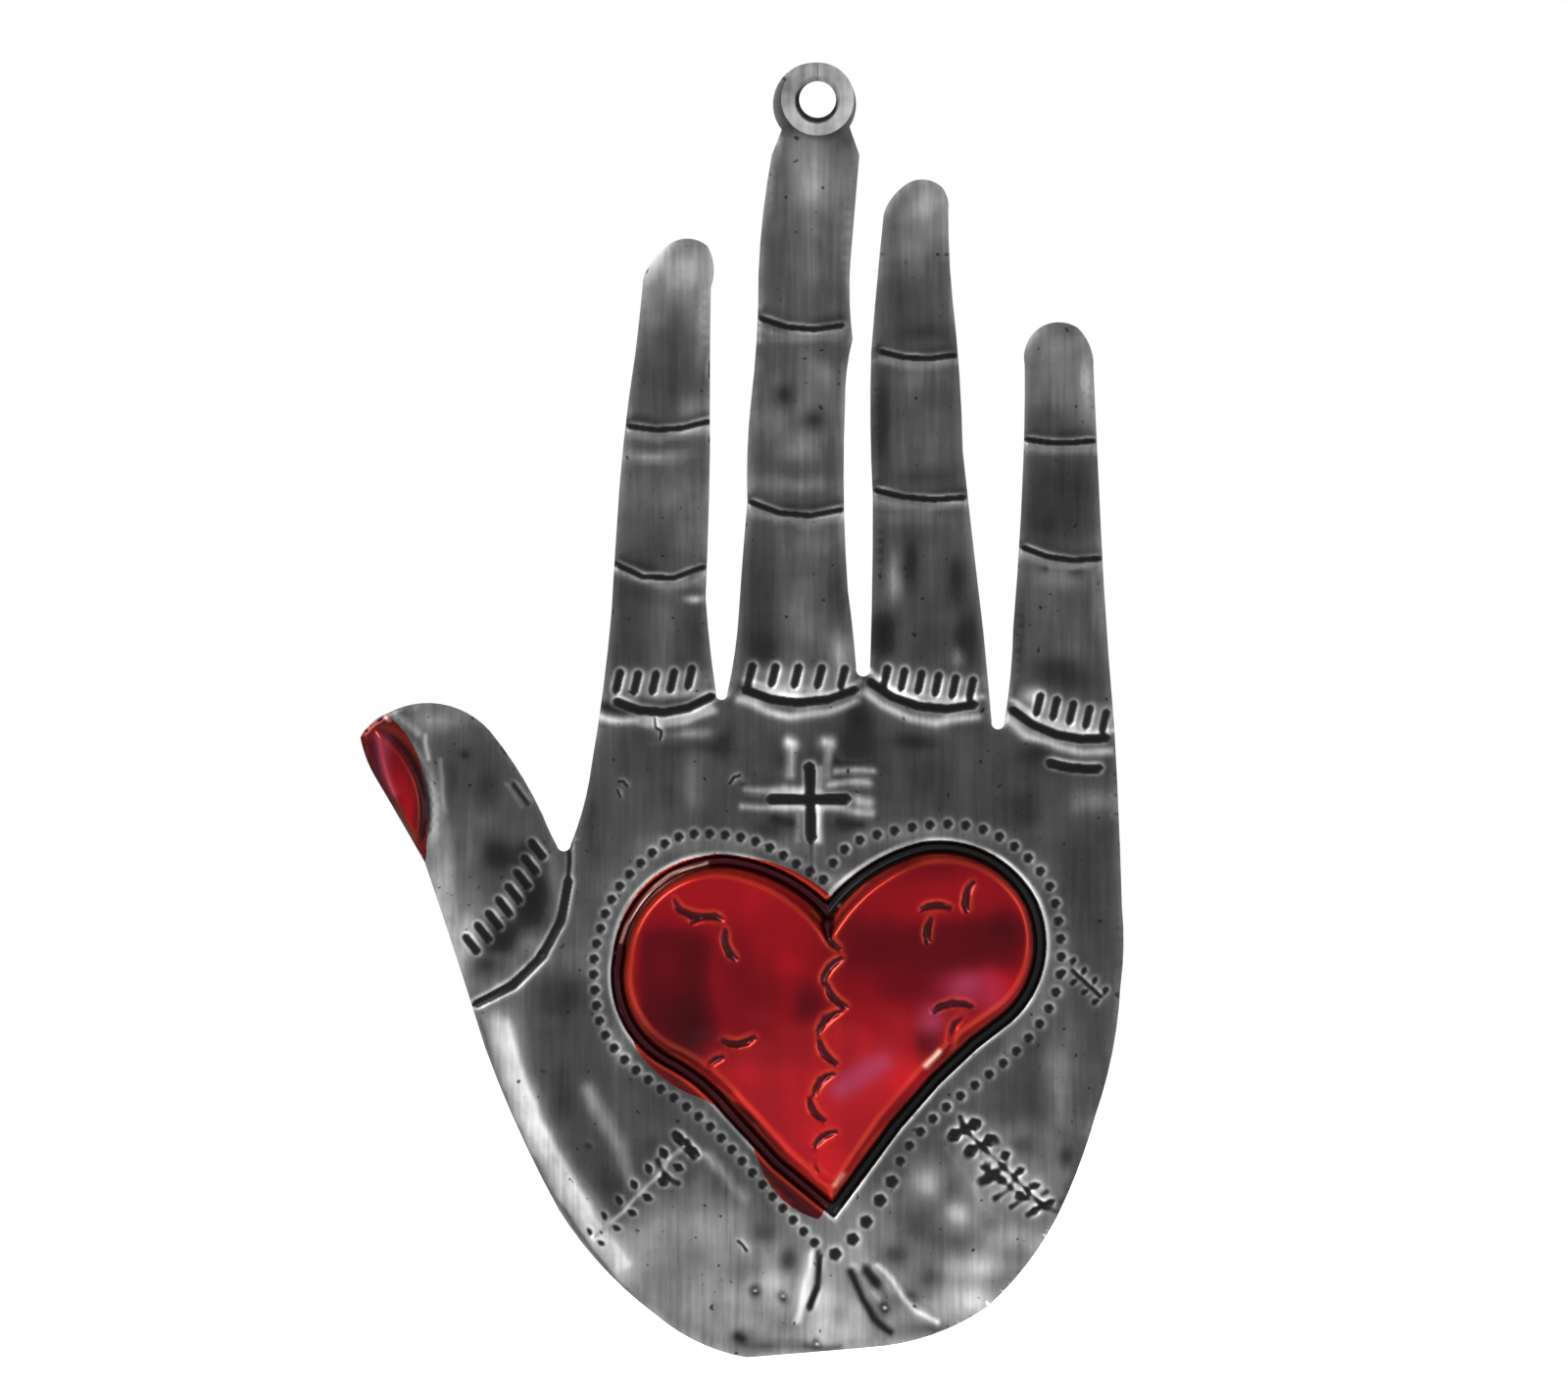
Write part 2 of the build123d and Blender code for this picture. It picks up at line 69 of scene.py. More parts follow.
# The maps' grid and how far they reach past the hand
GRID = 0.1 * MM
MARGIN = 2 * MM

# How far a pressed mark's edge is softened, and the blurs that a mark's depth and a crest's rise are
# taken from
SOFTEN = 0.2 * MM
BROAD = 1.1 * MM
CLOSE = 0.4 * MM
# The most that a mark is filled up before the broad blur is taken
MOST_FILLED = 0.3 * MM
# The depth and the rise at which patina and rubbing are full, and the shares of them that don't show
FULL_DEPTH = 0.08 * MM
FULL_RISE = 0.06 * MM
DEPTH_UNSEEN = 0.25
RISE_UNSEEN = 0.15
# How wide the rubbed rim of a mark with its painted highlight is, how wide the sheet's rim is and how far
# its cut edge is turned down
HALO = 0.45 * MM
RIM = 0.7 * MM
RIM_FROM = 0.72
RIM_FADE = 3
TURNED_DOWN = 0.22 * MM

# The unevenness of hand work and the wandering of the tones: how far, over what length, and a seed
UNEVEN = ((0.05 * MM, 14 * MM, 3), (0.012 * MM, 4 * MM, 4))
TONE_WANDER = ((0.08 * MM, 4 * MM, 5), (0.16 * MM, 6 * MM, 6))
WAVES = 16
# How much of the front's tones the back has, and how blurred
BACK_SHARE = 0.3
BACK_BLUR = 1.5 * MM

# The meshes' steps, on the outline and in busy and plain places, and the slope and the fade that are busy
OUTLINE_STEP = 0.25 * MM
FRONT_STEPS = (0.19 * MM, 0.62 * MM)
BACK_STEPS = (0.34 * MM, 0.9 * MM)
COAT_STEPS = (0.15 * MM, 0.27 * MM)
BUSY_SLOPE = 0.06
BUSY_FADE = 0.4 / MM
BUSY_REACH = 0.3 * MM
BUSY_SHARE = 0.02
ROW_GAP = 0.866

# The least that counts: a triangle's area, its share that shows from the front, a closed line's width;
# then how near points are one, how far sums may be off, and the height where there is no tin
LEAST_AREA = 1e-13
LEAST_SHARE = 0.05
LEAST_LOOP = 3 * MM
WELD = 0.003 * MM
SLACK = 1e-6
NOWHERE = -1.0

# The stage: the floor, the world and the lamps, each with its name, place, size and power
FLOOR_DROP = 12 * MM
FLOOR_SIZE = 4.0
FLOOR_GLOW = 0.55
FLOOR_GREY = 0.85
WORLD_STRENGTH = 0.6
SENSOR_WIDTH = 36.0
LAMPS = (
    ("key", (-0.45, -0.6, 0.35), 0.35, 6.0),
    ("fill", (0.6, -0.7, 0.0), 0.6, 3.0),
    ("back", (0.1, 0.7, 0.4), 0.5, 5.0),
)


def from_pixel(x, y):
    """The place (x, z) of a pixel of the photograph."""
    return ((x - HOLE_PIXEL[0]) * PIXEL, (HOLE_PIXEL[1] - y) * PIXEL)


# Maps over the front of the hand
LOW = (cad_box[0].x - MARGIN, cad_box[0].z - MARGIN)
HIGH = (cad_box[1].x + MARGIN, cad_box[1].z + MARGIN)
COUNT = tuple(int((high - low) / GRID) for low, high in zip(LOW, HIGH))


def map_places():
    """The x and z of every node of a map."""
    x = LOW[0] + GRID * np.arange(COUNT[0])
    z = LOW[1] + GRID * np.arange(COUNT[1])
    return np.meshgrid(x, z, indexing="ij")


map_x, map_z = map_places()


def read_map(values, points):
    """A map's values at points (n, 2), worked out between its nodes."""
    steps = (points - np.array(LOW)) / GRID
    cell = np.clip(np.floor(steps).astype(int), 0, np.array(COUNT) - 2)
    i, j = cell.T
    u, v = np.clip(steps - cell, 0, 1).T
    lower = values[i, j] * (1 - u) + values[i + 1, j] * u
    upper = values[i, j + 1] * (1 - u) + values[i + 1, j + 1] * u
    return lower * (1 - v) + upper * v


def softened(values, radius):
    """A map blurred over about a radius."""
    tail = 2.5
    reach = int(math.ceil(tail * radius / GRID))
    kernel = np.exp(-((np.arange(-reach, reach + 1) * GRID / radius) ** 2))
    kernel /= kernel.sum()
    for _ in range(2):
        values = values.T
        padded = np.pad(values, ((reach, reach), (0, 0)), mode="edge")
        values = sum(share * padded[start:start + len(values)] for start, share in enumerate(kernel))
    return values


def softened_within(values, mask, radius):
    """A map blurred over about a radius, from what lies within a mask only."""
    return softened(values * mask, radius) / np.maximum(softened(mask, radius), SLACK)


def window(low, high):
    """The part of a map that covers a box of places."""
    first = np.maximum(((low - np.array(LOW)) / GRID).astype(int), 0)
    last = np.minimum(((high - np.array(LOW)) / GRID).astype(int) + 2, COUNT)
    return tuple(slice(a, max(a, b)) for a, b in zip(first, last))


def near_line(line, reach):
    """How near each node of a map is to a line through pixels: 1 on it, a third at the reach in pixels."""
    points = np.array([from_pixel(*place) for place in line])
    reach = reach * PIXEL
    tail = 3 * reach
    near = np.zeros(COUNT)
    for start, end in zip(points, points[1:]):
        part = window(np.minimum(start, end) - tail, np.maximum(start, end) + tail)
        x, z = map_x[part] - start[0], map_z[part] - start[1]
        dx, dz = end - start
        along = np.clip((x * dx + z * dz) / (dx * dx + dz * dz), 0, 1)
        gap = (x - along * dx) ** 2 + (z - along * dz) ** 2
        near[part] = np.maximum(near[part], np.exp(-gap / reach ** 2))
    return near


def painted(level, patches, lines):
    """A map of tone: a first level, then soft patches and soft lines laid on it in turn."""
    tone = np.full(COUNT, level)
    for x, y, across, up, edge, patch_level in patches:
        middle = np.array(from_pixel(x, y))
        size = np.array((across, up)) * PIXEL
        tail = 2.5 * size
        part = window(middle - tail, middle + tail)
        out = np.abs((map_x[part] - middle[0]) / size[0]) ** edge
        out = out + np.abs((map_z[part] - middle[1]) / size[1]) ** edge
        tone[part] += (patch_level - tone[part]) * np.exp(-out)
    for line_level, reach, line in lines:
        tone += (line_level - tone) * near_line(line, reach)
    return tone


def shifted(line, across, down):
    """A line through pixels, moved."""
    return [(x + across, y + down) for x, y in line]


def corners_and_triples(node):
    """The corner places and the triangles of a CAD node, as arrays."""
    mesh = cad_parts[node].data
    mesh.calc_loop_triangles()
    corners = np.zeros(len(mesh.vertices) * 3)
    mesh.vertices.foreach_get("co", corners)
    triples = np.zeros(len(mesh.loop_triangles) * 3, int)
    mesh.loop_triangles.foreach_get("vertices", triples)
    return corners.reshape(-1, 3), triples.reshape(-1, 3)


def flat_area(a, b, c):
    """Twice the area of triangles seen from the front, positive where they face it."""
    first, second = b - a, c - a
    return first[..., 0] * second[..., 2] - first[..., 2] * second[..., 0]


def front_map(node):
    """How far a node stands out to the front at each place, and where it is."""
    corners, triples = corners_and_triples(node)
    height = np.full(COUNT, NOWHERE)
    for a, b, c in corners[triples]:
        area = flat_area(a, b, c)
        if area < LEAST_AREA:
            continue
        lowest = (np.minimum(np.minimum(a, b), c)[[0, 2]] - LOW) / GRID
        highest = (np.maximum(np.maximum(a, b), c)[[0, 2]] - LOW) / GRID
        i0, j0 = np.ceil(lowest - SLACK).astype(int)
        i1, j1 = np.floor(highest + SLACK).astype(int) + 1
        x = LOW[0] + GRID * np.arange(i0, i1)[:, None]
        z = LOW[1] + GRID * np.arange(j0, j1)[None, :]
        share_b = ((x - a[0]) * (c[2] - a[2]) - (z - a[2]) * (c[0] - a[0])) / area
        share_c = ((b[0] - a[0]) * (z - a[2]) - (b[2] - a[2]) * (x - a[0])) / area
        covered = (share_b > -SLACK) & (share_c > -SLACK) & (share_b + share_c < 1 + SLACK)
        out = -(a[1] + share_b * (b[1] - a[1]) + share_c * (c[1] - a[1]))
        block = height[i0:i1, j0:j1]
        np.maximum(block, np.where(covered, out, NOWHERE), out=block)
    there = (height > NOWHERE / 2).astype(float)
    return np.where(there > 0, height, 0.0), there


def wander(points, size, seed):
    """Smooth random numbers of about -1 to 1 over points (n, 2), in waves of about a size."""
    random = np.random.default_rng(seed)
    total = np.zeros(len(points))
    for _ in range(WAVES):
        turn = random.uniform(0, 2 * math.pi)
        rate = 2 * math.pi / (size * random.uniform(0.7, 1.8))
        along = points[:, 0] * math.cos(turn) + points[:, 1] * math.sin(turn)
        total += np.sin(along * rate + random.uniform(0, 2 * math.pi))
    return total / math.sqrt(WAVES)


# Outlines and meshes


def welded(points, reach):
    """One number for each place: the same for points that lie within a reach of each other."""
    known = {}
    numbers = []
    places = []
    for x, z in points:
        cell = (math.floor(x / reach), math.floor(z / reach))
        near = [(cell[0] + i, cell[1] + j) for i in (0, -1, 1) for j in (0, -1, 1)]
        found = [known[key] for key in near if key in known]
        found = [number for number in found if math.dist(places[number], (x, z)) < reach]
        if not found:
            known[cell] = len(places)
            found = [len(places)]
            places.append((x, z))
        numbers.append(found[0])
    return np.array(numbers), np.array(places)


def silhouette(node):
    """The closed lines round a node seen from the front, as arrays (n, 2)."""
    corners, triples = corners_and_triples(node)
    a, b, c = (corners[triples[:, k]] for k in range(3))
    size = np.linalg.norm(np.cross(b - a, c - a), axis=1)
    facing = flat_area(a, b, c) > LEAST_SHARE * size
    numbers, places = welded(corners[:, [0, 2]], WELD)
    edges = {}
    for triple in numbers[triples[facing]]:
        for start, end in zip(triple, np.roll(triple, -1)):
            if start == end:
                continue
            if edges.get((end, start)):
                edges[(end, start)] -= 1
            else:
                edges[(start, end)] = edges.get((start, end), 0) + 1
    onward = {}
    for (start, end), count in edges.items():
        onward.setdefault(start, []).extend([end] * count)
    loops = []
    while any(onward.values()):
        place = next(start for start, ends in onward.items() if ends)
        loop = []
        while onward.get(place):
            loop.append(place)
            place = onward[place].pop()
        loop = places[loop]
        if np.ptp(loop, axis=0).min() > LEAST_LOOP:
            loops.append(loop)
    return loops


def resampled(loop, step):
    """A closed line with points about a step apart, its own points kept."""
    points = []
    for start, end in zip(loop, np.roll(loop, -1, axis=0)):
        pieces = max(1, round(math.dist(start, end) / step))
        points += [start + (end - start) * piece / pieces for piece in range(pieces)]
    return np.array(points)


def enclosed(points, loops):
    """Which points lie within an odd number of closed lines."""
    crossings = np.zeros(len(points), int)
    for loop in loops:
        for (x0, z0), (x1, z1) in zip(loop, np.roll(loop, -1, axis=0)):
            if z0 == z1:
                continue
            between = (points[:, 1] < z0) != (points[:, 1] < z1)
            crossings += between & (points[:, 0] < x0 + (points[:, 1] - z0) * (x1 - x0) / (z1 - z0))
    return crossings % 2 == 1


def lattice(step):
    """Places in staggered rows over the whole hand."""
    x = np.arange(LOW[0], LOW[0] + GRID * COUNT[0], step)
    z = np.arange(LOW[1], LOW[1] + GRID * COUNT[1], step * ROW_GAP)
    xs, zs = np.meshgrid(x, z, indexing="ij")
    xs = xs + step / 2 * (np.arange(len(z)) % 2)
    return np.stack([xs.ravel(), zs.ravel()], 1)


def skin(loops, there, busy, steps):
    """Points and triangles that fill closed lines, fine where the map of busy places says so."""
    fine, plain = steps
    inside, whole, rim_reach = 0.93, 0.95, 0.5 * MM
    rims = [resampled(loop, OUTLINE_STEP) for loop in loops]
    inner = []
    for step, wanted in ((fine, True), (plain, False)):
        points = lattice(step)
        depth = read_map(softened(there, step), points)
        chosen = (read_map(busy, points) > 0.5) == wanted
        inner.append(points[chosen & (depth > inside)])
    points = [Vector(point) for point in np.vstack(rims + inner)]
    edges = []
    first = 0
    for rim in rims:
        count = len(rim)
        edges += [(first + k, first + (k + 1) % count) for k in range(count)]
        first += count
    made, _, triangles, *_ = delaunay_2d_cdt(points, edges, [], 0, 1e-9, False)
    made, triangles = np.array([tuple(point) for point in made]), np.array(triangles)
    middles = made[triangles].mean(axis=1)
    near_rim = np.flatnonzero(read_map(softened(there, rim_reach), middles) < whole)
    kept = np.ones(len(triangles), bool)
    kept[near_rim] = enclosed(middles[near_rim], rims)
    return made, triangles[kept], rims


def mesh_piece(name, corners, faces, numbers, material):
    """A smooth mesh with named numbers at its corners, riding on the ornament."""
    mesh = bpy.data.meshes.new(name)
    mesh.from_pydata(corners.tolist(), [], faces)
    mesh.validate()
    mesh.polygons.foreach_set("use_smooth", [True] * len(mesh.polygons))
    for key, values in numbers.items():
        layer = mesh.attributes.new(key, "FLOAT", "POINT")
        layer.data.foreach_set("value", values)
    piece = bpy.data.objects.new(name, mesh)
    bpy.context.scene.collection.objects.link(piece)
    mesh.materials.append(material)
    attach(piece, "root")
    return piece


# What the height map gets besides the model's own relief, in pixels of the photograph: how far a
# line stands out in mm, how far from its middle it fades, and the line
worked_lines = [
    (0.10, 5, [(807, 758), (808, 790)]), (0.10, 5, [(844, 758), (844, 790)]),
    (0.06, 8, [(804, 757), (810, 758)]), (0.06, 8, [(841, 757), (847, 758)]),
    (0.09, 5, [(760, 806), (784, 805), (818, 804)]), (0.09, 4, [(757, 823), (800, 824), (818, 824)]),
    (0.10, 5, [(852, 786), (891, 786)]), (0.10, 5, [(848, 800), (888, 799)]),
    (0.09, 5, [(836, 825), (890, 826)]), (0.08, 4, [(815, 830), (815, 858)]),
    (0.09, 4, [(838, 784), (838, 806)]), (0.09, 4, [(837, 828), (837, 858)]),
    (0.06, 8, [(878, 817), (888, 818)]), (-0.07, 6, [(759, 802), (761, 804)]),
    (-0.06, 4, [(828, 862), (828, 889)]), (0.08, 6, [(773, 350), (820, 356), (864, 352)]),
    (0.06, 4, [(664, 759), (700, 758), (716, 752)]), (0.06, 4, [(1066, 764), (1100, 770), (1128, 766)]),
    (0.12, 6, [(828, 1280), (820, 1312), (812, 1348)]),
    (-0.09, 4, [(838, 1282), (835, 1310), (826, 1332)]), (0.05, 3, [(841, 1284), (838, 1310)]),
    (0.09, 5, [(896, 1292), (916, 1316), (936, 1338), (956, 1347)]),
    (0.10, 4, [(872, 1290), (890, 1316), (902, 1332)]), (-0.07, 8, [(884, 1296), (892, 1308)]),
    (-0.12, 1.3, [(668, 733), (669, 742), (675, 746), (674, 754)]),
    (-0.12, 1.3, [(631, 797), (636, 797), (640, 802)]), (-0.12, 1.3, [(630, 806), (633, 813)]),
    (-0.12, 1.5, [(745, 799), (749, 793), (755, 791)]),
    (-0.12, 1.4, [(753, 1266), (757, 1269), (762, 1276)]), (-0.10, 1.5, [(619, 470), (626, 466)]),
    (-0.10, 2.0, [(512, 763), (516, 768)]), (0.09, 2.5, [(517, 800), (532, 823)]),
    (-0.08, 3, [(524, 800), (539, 820)]), (-0.15, 5, [(689, 1158), (699, 1172)]),
    (-0.15, 5, [(701, 1165), (708, 1180)]), (0.16, 2.8, [(698, 1170), (606, 1264)]),
    (-0.12, 4, [(671, 1184), (679, 1200)]), (-0.12, 4, [(679, 1201), (692, 1207)]),
    (-0.18, 7.5, [(972, 1160), (996, 1148)]), (-0.16, 4, [(980, 1140), (984, 1152)]),
    (-0.20, 9.5, [(990, 1176), (1016, 1163)]), (-0.18, 8, [(1003, 1204), (1014, 1198)]),
    (-0.16, 6, [(1010, 1202), (1026, 1188)]), (-0.14, 4.5, [(1016, 1222), (1030, 1213)]),
    (-0.14, 4.5, [(1033, 1206), (1036, 1200)]), (-0.14, 4, [(1032, 1231), (1048, 1221)]),
    (-0.13, 4, [(1049, 1213), (1051, 1209)]), (-0.14, 4.5, [(1049, 1239), (1068, 1229)]),
    (-0.14, 4.5, [(1063, 1219), (1068, 1216)]),
    (-0.10, 3, [(1000, 1190), (1030, 1210), (1046, 1222), (1066, 1229)]),
    (-0.12, 3, [(581, 862), (581, 880), (579, 904), (573, 930), (564, 952), (551, 973)]),
    (-0.12, 3, [(551, 973), (537, 990), (520, 1003), (502, 1015), (483, 1025)]),
    (-0.12, 5, [(1070, 1233), (1082, 1237)]),
    (0.07, 4, [(966, 1172), (988, 1204), (1004, 1232), (1020, 1242)]),
    (0.06, 4, [(1006, 1146), (1030, 1170), (1050, 1198)]), (-0.05, 5, [(771, 1316), (772, 1318)]),
    (-0.05, 5, [(902, 1332), (903, 1334)]), (-0.04, 4, [(798, 1323), (799, 1324)]),
    (-0.05, 6, [(754, 1364), (757, 1366)]), (-0.06, 5, [(600, 1168), (602, 1169)]),
]
# The stitches on the heart: short crescents, each pressed deeper than its plain bar in the model
stitches = [
    [(841, 944), (845, 957), (856, 967)], [(858, 977), (845, 986), (840, 1001)],
    [(844, 1005), (849, 1018), (863, 1026)], [(858, 1031), (841, 1037), (835, 1053)],
    [(836, 1061), (839, 1075), (853, 1084)], [(850, 1095), (836, 1100), (831, 1115)],
    [(826, 1120), (829, 1134), (841, 1142)], [(852, 1154), (838, 1158), (832, 1168)],
    [(831, 1186), (836, 1198), (848, 1205)], [(688, 917), (694, 929), (712, 933)],
    [(706, 940), (718, 934), (736, 937)], [(740, 949), (740, 963), (750, 977)],
    [(738, 1061), (753, 1065), (769, 1058)], [(720, 1094), (725, 1084), (737, 1078)],
    [(993, 900), (986, 912), (986, 928)], [(941, 927), (955, 923), (969, 926)],
    [(950, 937), (946, 948), (946, 960)], [(953, 1031), (971, 1021), (991, 1026)],
    [(981, 1038), (971, 1051), (970, 1066)],
]
STITCH_DEPTH = 0.16
STITCH_REACH = 3.7
creases = [
    [(640, 434), (675, 438), (724, 429)], [(625, 574), (651, 581), (682, 590), (706, 586), (720, 577)],
    [(774, 323), (799, 332), (820, 335), (858, 331)], [(765, 511), (794, 521), (820, 526), (861, 519)],
    [(897, 358), (919, 364), (936, 366), (976, 362)], [(892, 499), (915, 507), (936, 509), (986, 507)],
    [(1046, 448), (1079, 451), (1118, 449)], [(1042, 558), (1074, 568), (1096, 571), (1124, 569)],
]
base_arcs = [
    [(612, 716), (636, 723), (663, 725), (700, 719), (728, 709)],
    [(756, 701), (782, 712), (808, 717), (845, 714), (875, 702)],
    [(884, 693), (902, 707), (930, 719), (959, 723), (999, 718)],
    [(1030, 723), (1050, 737), (1080, 748), (1108, 754), (1134, 752)],
]
# The cut edge down both sides of the palm, where painted highlight and shade show as bright and dark bands
# along its turned-back curve
left_edge = [(491, 1042), (506, 1100), (528, 1150), (553, 1200), (585, 1250), (614, 1290), (650, 1328)]
right_edge = [(1140, 1080), (1132, 1140), (1114, 1190), (1094, 1232)]
